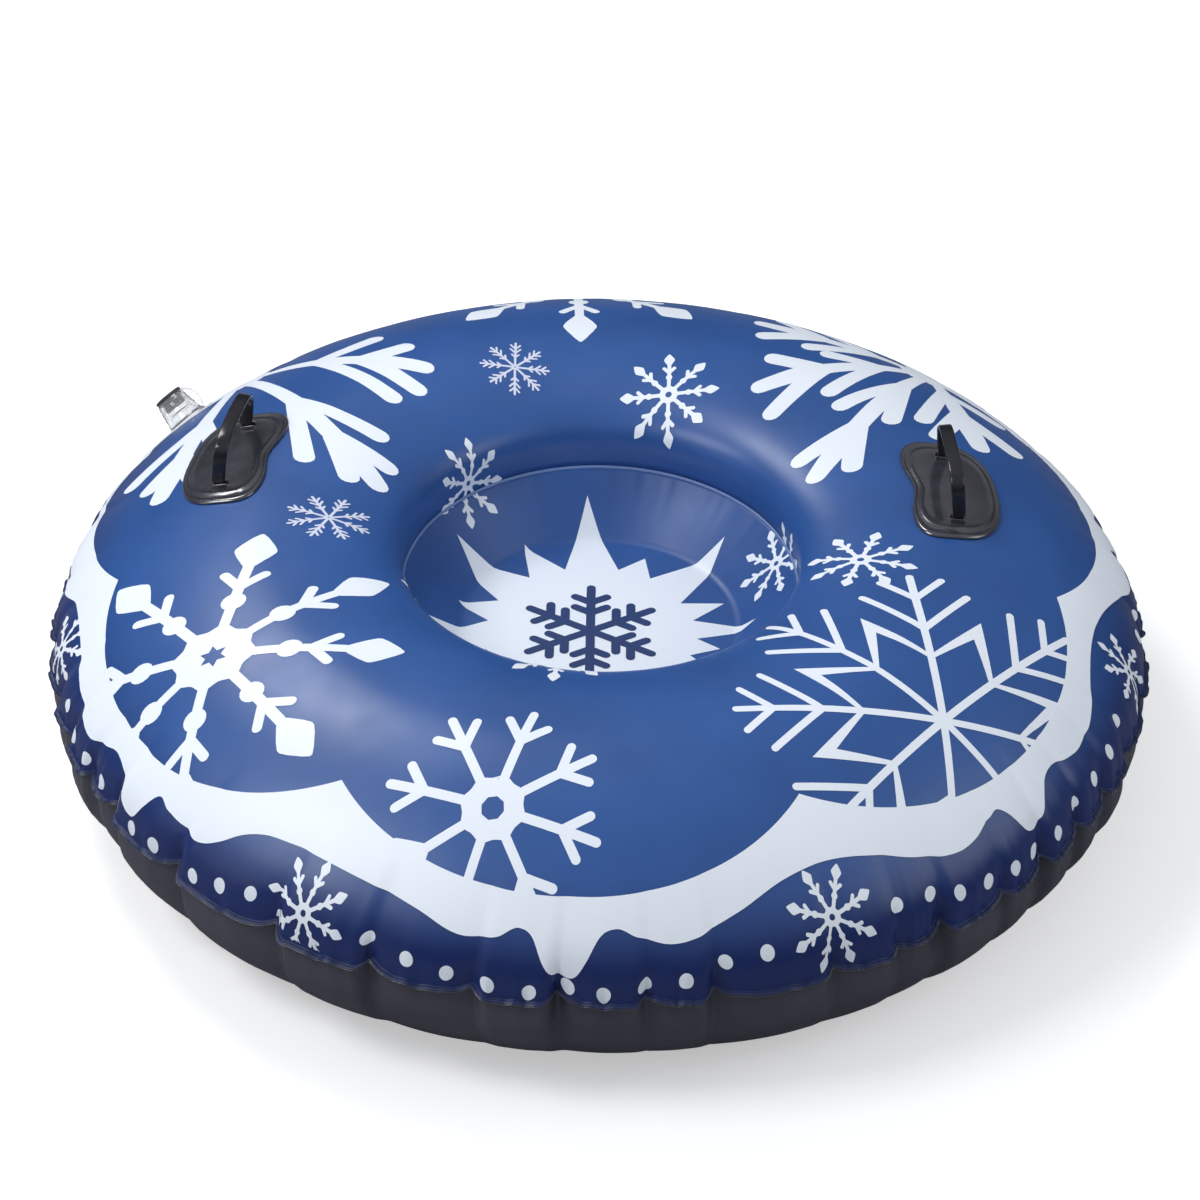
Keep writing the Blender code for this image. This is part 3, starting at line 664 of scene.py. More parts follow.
def cut_hole(angle, arc, radius):
    """Grid points with those in a hole round the valve moved to its edge, and the faces left."""
    tube_radius, _ = TOP.at(VALVE_ARC)
    across, up = around_from_valve(angle) * tube_radius, arc - VALVE_ARC
    distance = np.hypot(across, up)
    inside = distance < radius
    scale = np.where(inside, radius / np.maximum(distance, 1e-6), 1)
    moved_angle = np.where(inside, VALVE_ANGLE + across * scale / tube_radius, angle)
    moved_arc = np.where(inside, VALVE_ARC + up * scale, arc)
    hole = inside.reshape(-1)
    faces = [face for face in grid_faces(*angle.shape) if not all(hole[list(face)])]
    return moved_angle, moved_arc, *renumbered(faces)


def make_skin(name, point_at, arcs, thickness, colour, hole_radius, node):
    angle, arc = np.meshgrid(column_angles(), arcs, indexing="ij")
    angle, arc, used, faces = cut_hole(angle, arc, hole_radius)
    if point_at is bottom_point:
        faces = [face[::-1] for face in faces]
    item = add_object(name, point_at(angle, arc).reshape(-1, 3)[used], faces, colour)
    give_thickness(item, thickness)
    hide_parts(node)
    return item, used


tube_arcs = row_arcs(TOP.length, 0.060, 0.003, 0.009)
tube_upper, tube_corners = make_skin(
    "tube_upper_skin", top_point, tube_arcs, TOP_SKIN, "blue",
    NECK_BASE_RADIUS + HOLE_CLEARANCE, "top_skin",
)
# The weld fin is darker: painted shade, like the outer wall's
tube_upper.data.materials.append(MATERIALS["fin"])
for polygon in tube_upper.data.polygons:
    lowest = min(tube_corners[corner] % len(tube_arcs) for corner in polygon.vertices)
    polygon.material_index = int(tube_arcs[lowest] < 0)
tube_lower, _ = make_skin(
    "tube_lower_skin", bottom_point, row_arcs(BOTTOM.length, 0.048, 0.004, 0.012), BOTTOM_SKIN,
    "black", 0, "bottom_skin",
)


def make_panel():
    columns, wrinkled = 288, PANEL.length - 0.030
    arcs = np.concatenate([
        [0.004, 0.02, 0.045, 0.07, 0.095], PANEL.arcs[1:-1],
        np.linspace(PANEL.arcs[-2], wrinkled, 5)[1:], np.linspace(wrinkled, PANEL.length, 14)[1:],
    ])
    rows, middle = len(arcs), columns * len(arcs)
    angle, arc = np.meshgrid(np.arange(columns) * math.tau / columns, arcs, indexing="ij")
    points = [*panel_point(angle, arc).reshape(-1, 3), (0, 0, FLOOR_HEIGHT)]
    faces = [face[::-1] for face in grid_faces(columns, rows)]
    faces += [(here, (here + rows) % middle, middle) for here in range(0, middle, rows)]
    item = add_object("seat_pan", points, faces, "panel")
    give_thickness(item, PANEL_SHEET)
    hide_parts("seat_panel")


make_panel()


# Print: outlines in the flat sheet, filled, and laid on the skin

def divide(outline, spacing):
    """The outline with points added so that none lie further apart than the spacing."""
    result = []
    for (x, y), (next_x, next_y) in zip(outline, outline[1:] + outline[:1]):
        count = max(1, math.ceil(math.dist((x, y), (next_x, next_y)) / spacing))
        for share in (step / count for step in range(count)):
            result.append((x + (next_x - x) * share, y + (next_y - y) * share))
    return result


def fill(outlines, holes, spacing):
    """Points and triangles of the union of the outlines, less the holes."""
    corners, rings = [], []
    for outline in outlines + holes:
        ring = divide(outline, spacing)
        rings.append(list(range(len(corners), len(corners) + len(ring))))
        corners += ring
    xs, ys = zip(*corners)
    row, y = 0, min(ys)
    while y < max(ys):
        x = min(xs) + (spacing / 2 if row % 2 else 0)
        while x < max(xs):
            corners.append((x, y))
            x += spacing
        row, y = row + 1, y + spacing * math.sqrt(3) / 2
    points, _, triangles, _, _, owners = delaunay_2d_cdt(
        [Vector(point) for point in corners], [], rings, 0, 1e-6
    )
    used, kept = renumbered([
        triangle for triangle, owner in zip(triangles, owners)
        if owner and max(owner) < len(outlines)
    ])
    return np.array([points[corner] for corner in used]), kept


def add_slab(name, outer, inner, faces, colour):
    """A thin closed sheet between two sets of points, with sharp edges round its rim."""
    count, rim = len(outer), {}
    for face in faces:
        for here, there in zip(face, face[1:] + face[:1]):
            if rim.pop((there, here), None) is None:
                rim[here, there] = True
    solid = faces + [tuple(corner + count for corner in reversed(face)) for face in faces]
    solid += [(there, here, here + count, there + count) for here, there in rim]
    item = add_object(name, [*outer, *inner], solid, colour)
    ends = {tuple(sorted(edge)) for edge in rim}
    for edge in item.data.edges:
        first, second = sorted(edge.vertices)
        edge.use_edge_sharp = (first, second) in ends or (first - count, second - count) in ends


def lay_print(
    name, outlines, holes, place, colour, slot, lift=FLAKE_LIFT, spacing=PRINT_SPACING,
    keep=None, flip=True,
):
    """Fills outlines and lays them on a surface: place gives points from flat points and a lift."""
    points, triangles = fill(outlines, holes, spacing)
    if keep:
        good = keep(np.array([points[list(triangle)].mean(axis=0) for triangle in triangles]))
        used, triangles = renumbered([face for face, stays in zip(triangles, good) if stays])
        points = points[used]
    faces = []
    for triangle in triangles:
        first, second, third = points[list(triangle)]
        turn = np.cross(second - first, third - first)
        faces.append(triangle if (turn > 0) != flip else triangle[::-1])
    add_slab(name, place(points, lift), place(points, lift - PRINT_SHEET), faces, colour)


def turn_points(points, angle):
    cos, sin = math.cos(angle), math.sin(angle)
    return [(x * cos - y * sin, x * sin + y * cos) for x, y in points]


def arms(shapes, count, offset=0.0):
    """Copies of one arm's shapes, turned evenly round the middle."""
    return [
        turn_points(shape, offset + math.tau * arm / count)
        for arm in range(count) for shape in shapes
    ]


def round_end(centre, width, heading, first):
    """Half a circle from an angle in degrees off the heading."""
    return [
        polar(width / 2, heading + math.radians(first + 180 * step / 6), centre)
        for step in range(7)
    ]


def stroke(start, end, width, end_width=None):
    """A straight stroke with round ends."""
    heading = math.atan2(end[1] - start[1], end[0] - start[0])
    tip = round_end(end, width if end_width is None else end_width, heading, -90)
    return tip + round_end(start, width, heading, 90)


def stem(stations, widths):
    """A stroke along +X whose width changes, by a smooth spline, with a round end at its tip."""
    padded = [2 * stations[0] - stations[1], *stations, 2 * stations[-1] - stations[-2]]
    left = []
    for before, here, there, after, width, next_width in zip(
        padded, padded[1:], padded[2:], padded[3:], widths, widths[1:]
    ):
        for t in (step / 6 for step in range(6)):
            place = 0.5 * (
                2 * here + (there - before) * t + (2 * before - 5 * here + 4 * there - after) * t**2
                + (3 * here - before - 3 * there + after) * t**3
            )
            left.append((place, (width * (1 - t) + next_width * t) / 2))
    left.append((stations[-1], widths[-1] / 2))
    tip = round_end((stations[-1], 0), widths[-1], 0, -90)[1:-1]
    return [(x, -y) for x, y in left] + tip + left[::-1]


def ellipse(centre, length, width, points=16):
    turns = (polar(1, math.tau * step / points) for step in range(points))
    return [(centre[0] + length / 2 * x, centre[1] + width / 2 * y) for x, y in turns]


def disc(size, points):
    return ellipse((0, 0), size, size, points)


def soften(outline, share, rounds=2):
    """The outline with its corners cut round: by a share of each side, and then by quarters."""
    for _ in range(rounds):
        cut = []
        for here, there in zip(outline, outline[1:] + outline[:1]):
            for part in (share, 1 - share):
                cut.append(tuple(a + (b - a) * part for a, b in zip(here, there)))
        outline = cut
        share = 0.25
    return outline


def kite(start, end, width, widest_share):
    """A soft kite along +X."""
    widest = start + (end - start) * widest_share
    return soften([(start, 0), (widest, -width / 2), (end, 0), (widest, width / 2)], 0.12)


def rosette(radius, lobes, depth, points=64):
    return [
        polar(radius * (1 + depth * math.cos(lobes * turn)), turn)
        for turn in (math.tau * step / points for step in range(points))
    ]


def star(points, outer, inner):
    return [
        polar(inner if step % 2 else outer, math.pi * step / points) for step in range(2 * points)
    ]


def barb_pair(root, length, spread_degrees, width):
    lean = math.radians(spread_degrees)
    return [stroke((root, 0), polar(length, side * lean, (root, 0)), width) for side in (-1, 1)]


def flake(size, width, length, barbs, extra=(), plate=None, hole=None, count=8, offset=0.0):
    """Arms with pairs of barbs, each (root, length, degrees, width), in shares of the size."""
    width *= size
    arm = [stroke((0, 0), (size * length, 0), width), *extra]
    for root, reach, degrees, stoutness in barbs:
        arm += barb_pair(size * root, size * reach, degrees, width * stoutness)
    middle = [rosette(size * plate[0], 8, plate[1])] if plate else []
    return arms(arm, count, offset) + middle, [hole] if hole else []


def jewel_flake(size, width=0.056, plate=0.205, hole=None):
    """Eight arms with a bead, a pair of barbs and a broad kite at the tip."""
    bead = ellipse((size * 0.39, 0), size * 0.130, size * 0.125)
    tip = kite(size * 0.635, size, size * 0.235, 0.52)
    hole = hole or star(6, size * 0.075, size * 0.040)
    return flake(size, width, 0.80, [(0.50, 0.150, 42, 0.95)], (bead, tip), (plate, 0.07), hole)


def small_flake(size):
    """The same flake for small sizes, with stouter arms and a round hole."""
    return jewel_flake(size, 0.075, 0.190, disc(size * 0.13, 10))


def fork_flake(size):
    """Eight arms that end in forks of three prongs."""
    hole = disc(size * 0.21, 8)
    return flake(size, 0.084, 0.96, [(0.645, 0.27, 44, 1)], (), (0.28, 0.05), hole)


def web_flake(size):
    """Eight arms joined by a tapering web, with two pairs of prongs beyond it."""
    joint, thick, half = size * 0.365, size * 0.035 * 0.4, math.pi / 8
    web = [
        # Counter-clockwise on either side, as fill needs it
        [
            (joint + thick, 0), polar(size * 0.685, side * half),
            polar(size * 0.560, side * half), (joint - thick, 0),
        ][::side]
        for side in (-1, 1)
    ]
    return flake(size, 0.035, 0.95, [(0.55, 0.335, 42, 1), (0.775, 0.19, 43, 1)], web)


def lace_flake(size):
    """Eight arms with close barbs."""
    barbs = [(0.40, 0.15, 42, 0.85), (0.58, 0.22, 42, 0.85), (0.76, 0.20, 42, 0.85)]
    return flake(size, 0.070, 1, barbs, hole=disc(size * 0.05, 6))


def plain_flake(size):
    barbs = [(0.42, 0.26, 60, 1), (0.66, 0.26, 60, 1)]
    return flake(size, 0.13, 1, barbs, count=6, offset=math.radians(90))


FINGER = 0.020


def frond(tip, node, palm, pair, fan):
    """A stem with a pair of long fingers at its node and a fan of three short ones at its tip.

    Each finger of the pair and of the fan's sides is (reach, degrees), from the flake's middle.
    """
    shapes = [
        stem(
            [0, node * 0.5, node, palm], [FINGER * share for share in (0.62, 0.72, 0.95, 1.1)]
        ),
        stroke((palm - FINGER * 0.8, 0), (tip - FINGER / 2, 0), FINGER * 1.35, FINGER),
    ]
    for root, fingers, start in (
        (node - FINGER * 0.9, pair, 0.75), (palm - FINGER * 1.1, fan, 1.1)
    ):
        for reach, degrees in fingers:
            tip_place = polar(reach - FINGER / 2, math.radians(degrees))
            shapes.append(stroke((root, 0), tip_place, FINGER * start, FINGER))
    return shapes


def fern_flake(fronds):
    """Fronds, each at its own heading in degrees, round a lobed middle."""
    shapes = []
    for heading, measures in fronds:
        shapes += [turn_points(shape, math.radians(heading)) for shape in frond(*measures)]
    return shapes + [rosette(0.030, 8, 0.10, 48)], []


# Scalloped band between the shoulder and the wall: its edges as (degrees, mm of arc) round the tube
CUSPS = (
    (186, 100), (238, 138.5), (295.5, 149.5), (351.2, 125.5), (403, 102), (454, 90), (500, 92),
    (546, 100),
)
ARC_LOWS = (66.5, 84.5, 87.5, 64, 50, 44, 48)
LOWER_EDGE = (
    (180.2, 34), (184.5, 50), (190.8, 56), (196.5, 47.5), (201.2, 38.4), (205.5, 33),
    (208.2, 38), (210.4, 44.5), (212, 40.5), (213.5, 30.5), (214.8, 21.2), (216.2, 17.2),
    (217.3, 20.5), (218.1, 33.3), (219, 46.5), (221.2, 44), (224.5, 38.5), (227, 40.5),
    (229, 50), (230.8, 62), (233, 70.5), (236.5, 74), (241, 73.5), (246, 69), (252, 59),
    (257.8, 45.5), (260.6, 50), (262.6, 58.5), (264, 52), (265.2, 31), (266.1, 19), (267.2, 15),
    (268.3, 19), (269.3, 34), (270.4, 52), (272.2, 60.5), (274.2, 54), (277, 47.5), (280, 50),
    (284.5, 65), (290, 84), (296, 89.5), (301, 80.5), (305, 66.5), (307.8, 59), (310.2, 56.2),
    (312.8, 58.5), (315.3, 65), (317.2, 65.5), (318, 56), (318.7, 40.5), (319.7, 33.5),
    (321.2, 36), (323, 49.5), (324.8, 61.5), (326.6, 64.2), (328.8, 59.5), (331.5, 55.8),
    (334.8, 58.5), (338.8, 67.6), (342.5, 78.5), (346, 84.2), (349.8, 83.8), (353.8, 76.7),
    (357.2, 63.6), (359.8, 50), (362, 38.5), (366, 34), (369, 42), (371.5, 20), (374, 41),
    (379, 33), (386, 42), (395, 60), (402, 64), (409, 50), (416, 30), (421, 40), (423.5, 17),
    (426, 39), (431, 27), (438, 36), (446, 52), (453.5, 56), (461, 45), (467, 30), (471.5, 39),
    (474, 18), (476.5, 38), (481, 26), (488, 36), (496, 53), (503, 54), (509, 40), (515, 26),
    (519, 37), (521.5, 18), (524, 39), (530, 28), (535, 26), (540.2, 34),
)


def stretch_of(degrees, table):
    """Number of the stretch of a table that an angle falls in, and the share of it passed."""
    angles, heights = np.array(table).T
    degrees = (np.asarray(degrees) - angles[0]) % 360 + angles[0]
    index = np.clip(np.searchsorted(angles, degrees, side="right") - 1, 0, len(angles) - 2)
    return index, (degrees - angles[index]) / (angles[index + 1] - angles[index])


def band_top(degrees):
    """Upper edge of the band: swags that hang between cusps."""
    index, share = stretch_of(degrees, CUSPS)
    share = share * 2 - 1
    heights, low = np.array(CUSPS)[:, 1] / 1000, np.array(ARC_LOWS)[index] / 1000
    end = np.where(share < 0, heights[index], heights[index + 1])
    return low + (end - low) * np.abs(share) ** SWAG_POWER


def band_bottom(degrees):
    """Lower edge of the band: a smooth line of drips through its listed points."""
    index, t = stretch_of(degrees, LOWER_EDGE)
    angles, heights = np.array(LOWER_EDGE).T
    heights = heights / 1000
    slopes = np.gradient(heights, angles)
    slopes[0] = slopes[-1] = 0
    span = angles[index + 1] - angles[index]
    return (
        heights[index] * (1 + 2 * t) * (1 - t) ** 2 + slopes[index] * span * t * (1 - t) ** 2
        + heights[index + 1] * t**2 * (3 - 2 * t) + slopes[index + 1] * span * t**2 * (t - 1)
    )


def on_tube(centre, points):
    """Angles and arcs of flat points round a centre (angle, arc). X runs up to the well."""
    out, around = FLAT_RADIUS - centre[1] - points[:, 0], points[:, 1]
    return centre[0] + np.arctan2(around, out), FLAT_RADIUS - np.hypot(out, around)


def on_top(centre):
    """Places flat points round a centre on the upper skin."""
    return lambda points, lift: lifted(sheet_point, *on_tube(centre, points), lift)


def above_band(centre):
    """Keeps what lies above the middle of the band."""
    def keep(points):
        angle, arc = on_tube(centre, points)
        upper, lower = band_top(np.degrees(angle)), band_bottom(np.degrees(angle))
        return arc > np.maximum(upper - BAND_OVERLAP, (upper + lower) / 2)

    return keep


def above_seam(centre):
    return lambda points: on_tube(centre, points)[1] > SEAM_MARGIN


def make_band():
    columns, rows = 1440, 9
    degrees = np.arange(columns) * 360 / columns
    upper, lower = band_top(degrees), band_bottom(degrees)
    arc = lower[:, None] + (upper - lower)[:, None] * np.linspace(0, 1, rows)[None]
    angle = np.broadcast_to(np.radians(degrees)[:, None], arc.shape)
    angle, arc, used, faces = cut_hole(angle, arc, NECK_BASE_RADIUS + PRINT_HOLE_MARGIN)
    outer, inner = (
        lifted(top_point, angle, arc, lift).reshape(-1, 3)[used]
        for lift in (BAND_LIFT, BAND_LIFT - PRINT_SHEET)
    )
    add_slab("print_band", outer, inner, faces, "white")


make_band()

# Flakes on the upper skin: name, design, size, degrees, arc, turn in degrees
FLAKES = (
    ("jewel_left", jewel_flake, 0.180, 209.2, 0.1574, -8),
    ("jewel_back", jewel_flake, 0.180, 93.5, 0.0690, 2),
    ("fork_front", fork_flake, 0.106, 257.3, 0.1520, 6),
    ("web_right", web_flake, 0.204, 319.2, 0.1512, 44),
    ("small_back", small_flake, 0.058, 74.0, 0.3119, 27),
    ("small_well_left", small_flake, 0.046, 134.0, 0.3805, 20),
    ("small_right", small_flake, 0.052, 348.8, 0.2990, 10),
    ("small_left_slope", small_flake, 0.045, 201.0, 0.3930, 10),
    ("small_front_slope", small_flake, 0.066, 258.5, 0.3708, -7),
    ("small_well_right", small_flake, 0.042, 16.2, 0.4098, 12),
    ("lace_back", lace_flake, 0.038, 109.0, 0.2745, 22),
    ("lace_left", lace_flake, 0.038, 179.8, 0.2897, 20),
)
# Ferns: name, degrees, arc, and each frond's heading and measures
SHORT_FROND = (
    0.200, 0.078, 0.142, ((0.140, -18), (0.140, 18)), ((0.190, -12.5), (0.190, 12.5)),
)
FERNS = (
    ("fern_left", 139.75, 0.0668, (
        (21.1, (
            0.306, 0.151, 0.236, ((0.240, -10.6), (0.252, 10.6)), ((0.283, -5.2), (0.291, 4.4)),
        )),
        (-25, (
            0.215, 0.106, 0.160, ((0.157, -23.5), (0.206, 19)), ((0.189, -11.3), (0.220, 11)),
        )),
        (62, (
            0.285, 0.139, 0.220, ((0.220, -10.5), (0.238, 12.4)), ((0.255, -5.5), (0.261, 4.6)),
        )),
        (-98, SHORT_FROND), (-148, SHORT_FROND), (152, SHORT_FROND),
    )),
    ("fern_right", 44.4, 0.0898, (
        (19, (
            0.208, 0.078, 0.150, ((0.155, -17.7), (0.121, 17.2)), ((0.217, -12.8), (0.182, 13)),
        )),
        (-20.8, (
            0.274, 0.091, 0.203, ((0.168, -8.7), (0.166, 12)), ((0.256, -6.4), (0.254, 6.6)),
        )),
        (-59, (
            0.194, 0.070, 0.135, ((0.120, -25), (0.153, 18.4)), ((0.190, -12.5), (0.184, 12.8)),
        )),
        (62, SHORT_FROND), (106, SHORT_FROND), (152, SHORT_FROND), (-112, SHORT_FROND),
        (-160, SHORT_FROND),
    )),
)
# Stretch of a flake up and round the tube, where it isn't even
STRETCHES = {"web_right": (0.96, 1.055)}


def lay_flake(name, outlines, holes, degrees, arc, turn):
    stretch_x, stretch_y = STRETCHES.get(name, (1, 1))
    outlines, holes = (
        [
            [(x * stretch_x, y * stretch_y) for x, y in turn_points(shape, math.radians(turn))]
            for shape in shapes
        ]
        for shapes in (outlines, holes)
    )
    centre = (math.radians(degrees), arc)
    lay_print(
        f"print_{name}", outlines, holes, on_top(centre),
        "lilac" if name.startswith("lace") else "white", "printed_vinyl",
        keep=above_band(centre),
    )


for name, design, size, degrees, arc, turn in FLAKES:
    lay_flake(name, *design(size), degrees, arc, turn)
for name, degrees, arc, fronds in FERNS:
    lay_flake(name, *fern_flake(fronds), degrees, arc, 0)

# Flakes and dots on the wall under the band: degrees, arc, and turn and size for the flakes
WALL_FLAKES = (
    (190.1, 0.031, 12, 0.046), (240.8, 0.030, 9, 0.046), (294.0, 0.045, 26, 0.046),
    (348.0, 0.0387, 0, 0.041), (40.0, 0.030, 20, 0.044), (92.0, 0.024, 5, 0.044),
    (134.5, 0.026, 24, 0.044),
)
DOT_DIAMETER = 0.0138
# Degrees and mm of arc
DOTS = (
    (198.2, 20), (202.2, 15), (206, 13), (209.8, 9.5), (213.5, 8.5), (217.2, 8), (220.8, 8.5),
    (227.2, 11), (230.8, 18.5), (234.5, 23.5), (247.8, 23), (252, 18), (256, 12.5), (260, 10),
    (264, 8), (267.6, 7.5), (271, 8), (274.9, 10), (278.8, 17), (282.7, 25), (286.8, 32),
    (301, 37), (305, 33), (308.2, 27), (312, 21.5), (315.8, 18), (319, 16), (322.8, 18),
    (327, 21), (331.2, 26.5), (335.5, 31), (340, 34), (355.6, 30), (0, 22), (4.6, 14),
    (9.2, 10), (13.8, 11), (18.6, 10), (23.4, 12), (28, 18), (32, 24), (48.4, 24), (53, 18),
    (57.8, 12), (62.6, 10), (67.4, 10), (72.2, 11), (77, 14), (81.4, 18), (101.6, 18),
    (106.2, 14), (111, 11), (115.8, 10), (120.6, 10), (125, 12), (156.4, 20), (161, 16),
    (165.8, 12), (170.6, 11), (175.4, 16), (180, 22),
)
for index, (degrees, arc, turn, size) in enumerate(WALL_FLAKES):
    outlines, holes = small_flake(size)
    centre = (math.radians(degrees), arc)
    lay_print(
        f"print_wall_flake_{index + 1}",
        [turn_points(outline, math.radians(turn)) for outline in outlines], holes,
        on_top(centre), "white", "printed_vinyl", spacing=FINE_SPACING, keep=above_seam(centre),
    )


def make_dots():
    sides, rings = 24, 3
    flat = np.array([(0.0, 0.0)] + [
        polar(DOT_DIAMETER / 2 * ring / rings, math.tau * side / sides)
        for ring in range(1, rings + 1) for side in range(sides)
    ])
    outer, inner, faces = [], [], []
    for degrees, arc in DOTS:
        place, middle = on_top((math.radians(degrees), arc / 1000)), len(outer)
        outer += list(place(flat, FLAKE_LIFT))
        inner += list(place(flat, FLAKE_LIFT - PRINT_SHEET))
        for side in range(sides):
            beside = (side + 1) % sides
            faces.append((middle, middle + 1 + beside, middle + 1 + side))
            for ring in range(rings - 1):
                near = middle + 1 + ring * sides
                far = near + sides
                faces.append((near + side, near + beside, far + beside, far + side))
    add_slab("print_dots", outer, inner, faces, "white")


make_dots()


# Seat print: a burst of rays with a plain flake in the middle

def on_panel(points, lift):
    """Places flat points on the seat panel. Arcs run outwards there, so the lift is reversed."""
    angle = np.arctan2(points[:, 1], points[:, 0])
    return lifted(panel_point, angle, np.hypot(points[:, 0], points[:, 1]), -lift)


BURST_MIDDLE = (-0.008, -0.012)
# Tips of the burst's rays, and the hollows between them: degrees, radius
BURST = (
    (2, 0.150), (11, 0.092), (20, 0.126), (28, 0.090), (43, 0.172), (56, 0.094), (66, 0.118),
    (75, 0.093), (92, 0.176), (105, 0.092), (117, 0.136), (126, 0.094), (141, 0.168),
    (153, 0.092), (163, 0.124), (172, 0.091), (187, 0.158), (198, 0.094), (210, 0.130),
    (219, 0.092), (234, 0.160), (246, 0.095), (257, 0.122), (266, 0.092), (281, 0.156),
    (293, 0.094), (303, 0.128), (312, 0.092), (327, 0.170), (340, 0.093), (349, 0.116),
    (355, 0.094),
)


def on_burst_middle(points, lift):
    return on_panel(points + np.array(BURST_MIDDLE), lift)


lay_print(
    "print_seat_burst",
    [[polar(radius, math.radians(degrees), BURST_MIDDLE) for degrees, radius in BURST]], [],
    on_panel, "white", "panel_vinyl", flip=False,
)
lay_print(
    "print_seat_flake", *plain_flake(0.062), on_burst_middle, "panel_blue", "panel_vinyl",
    lift=SEAT_FLAKE_LIFT, flip=False,
)


def make_weld_line():
    """The pressed line where the seat panel is welded to the upper skin."""
    sides, segments = 12, 360
    thick, tall, inset, lift = 0.0014, 0.0018, 0.0006, 0.0008
    points = []
    for segment in range(segments):
        for side in range(sides):
            across, up = polar(1, math.tau * side / sides)
            radius = WELD_RADIUS - inset + thick * across
            place = polar(radius, math.tau * segment / segments)
            points.append((*place, WELD_HEIGHT + lift + tall * up))
    item = add_object("seat_weld_line", points, grid_faces(segments, sides, True), "weld")
    mend(item)


make_weld_line()


# Handles

def shell_frame(angle, arc):
    """Point on the smooth upper skin and its directions: round, up the wall, and outwards."""
    step = 0.0005
    (r0, z0), (r1, z1) = TOP.at(arc - step), TOP.at(arc + step)
    radius, height = TOP.at(arc)
    slope = Vector((r1 - r0, 0, z1 - z0)).normalized()
    turn = Matrix.Rotation(angle, 3, "Z")
    outward = turn @ Vector((slope.z, 0, -slope.x))
    around = turn @ Vector((0, 1, 0))
    return turn @ Vector((radius, 0, height)), around, outward.cross(around), outward


def on_shell(angle, arc, lift):
    point, _, _, outward = shell_frame(angle, arc)
    return point + outward * lift


def patch_outline(turn):
    along, across = (signed_power(part, 2 / PATCH_OUTLINE_POWER) for part in polar(1, turn))
    fade = math.exp(-((along / PATCH_WAIST_SPREAD_SHARE) ** 2))
    waist = PATCH_WAIST * fade if across > 0 else 0
    return along * PATCH_LENGTH / 2, across * (PATCH_WIDTH / 2 - waist)


def patch_place(side, along, across):
    twist = HANDLE_TWISTS[side]
    around = along * math.cos(twist) - across * math.sin(twist)
    up = along * math.sin(twist) + across * math.cos(twist)
    radius, _ = TOP.at(HANDLE_ARCS[side] + up)
    return HANDLE_ANGLES[side] + around / radius, HANDLE_ARCS[side] + up


# Rings of the pad from its middle out: share of the outline, and height of its face
PAD_RINGS = (
    (0.15, 0.0026), (0.35, 0.0026), (0.55, 0.0026), (0.70, 0.0026), (0.77, 0.0025),
    (0.80, 0.0031), (0.815, 0.0034), (0.83, 0.0031), (0.86, 0.0022), (0.90, 0.0021),
    (0.93, 0.0027), (0.95, 0.0031), (0.965, 0.0031), (0.98, 0.0027), (0.993, 0.0019),
    (1.0, 0.0011),
)
PAD_SEGMENTS = 112


def make_pad(side):
    """Moulded patch with a raised contour line inside a rolled lip, and two root sockets."""
    rings = [*PAD_RINGS, (1.0, PATCH_SEAT), (0.6, PATCH_SEAT), (0.2, PATCH_SEAT)]
    points = []
    for share, lift in rings:
        for segment in range(PAD_SEGMENTS):
            along, across = patch_outline(math.tau * segment / PAD_SEGMENTS)
            points.append(on_shell(*patch_place(side, along * share, across * share), lift))
    faces = rod_faces(len(rings), PAD_SEGMENTS)
    item = add_object(f"{side}_handle_pad", points, faces, "pad")
    mend(item)
    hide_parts(f"{side}_handle_patch")
    for end in (-1, 1):
        make_socket(side, end)


def root_points(side):
    lift = PATCH_THICKNESS + ROOT_CLEARANCE + STRAP_WIDTH / 2
    ends = [on_shell(*patch_place(side, sign * STRAP_SPAN / 2, 0), lift) for sign in (-1, 1)]
    return sorted(ends, key=lambda point: -point.y)


def handle_frame(side):
    rear, front = root_points(side)
    along = (front - rear).normalized()
    middle = (rear + front) / 2
    inwards = Vector((-middle.x, -middle.y, 0)).normalized()
    lean = math.cos(STRAP_LEAN_FROM_UPRIGHT) * Vector((0, 0, 1))
    lean += math.sin(STRAP_LEAN_FROM_UPRIGHT) * inwards
    up = (lean - along * lean.dot(along)).normalized()
    return middle, along, up, along.cross(up)


def make_socket(side, end):
    """Two rounded cheeks that hold a root of the strap."""
    _, along, _, _ = handle_frame(side)
    place = patch_place(side, end * STRAP_SPAN / 2, 0)
    _, _, _, outward = shell_frame(*place)
    normal = (outward - along * outward.dot(along)).normalized()
    turn = Matrix((along.cross(normal), along, normal)).transposed().to_4x4()
    base = on_shell(*place, (PATCH_SEAT + PATCH_THICKNESS) / 2)
    height = SOCKET_HEIGHT + (PATCH_THICKNESS - PATCH_SEAT) / 2
    scale = Matrix.Diagonal((STRAP_WIDTH + 2 * SOCKET_SHOULDER, SOCKET_CHEEK, height, 1))
    offset = STRAP_THICKNESS / 2 + SOCKET_CLEARANCE + SOCKET_CHEEK / 2
    shape = bmesh.new()
    for sign in (-1, 1):
        centre = base + along * (sign * offset) + normal * (height / 2)
        bmesh.ops.create_cube(shape, size=1, matrix=Matrix.Translation(centre) @ turn @ scale)
    mesh = bpy.data.meshes.new("socket")
    shape.to_mesh(mesh)
    shape.free()
    item = link_mesh(f"{side}_handle_socket_{'a' if end < 0 else 'b'}", mesh, "pad")
    bevel = item.modifiers.new("rounded edges", "BEVEL")
    bevel.width, bevel.segments = 0.0009, 3


# Largest edge radius of a bar, as a share of half its thinner side
ROUNDEST_EDGE = 0.98


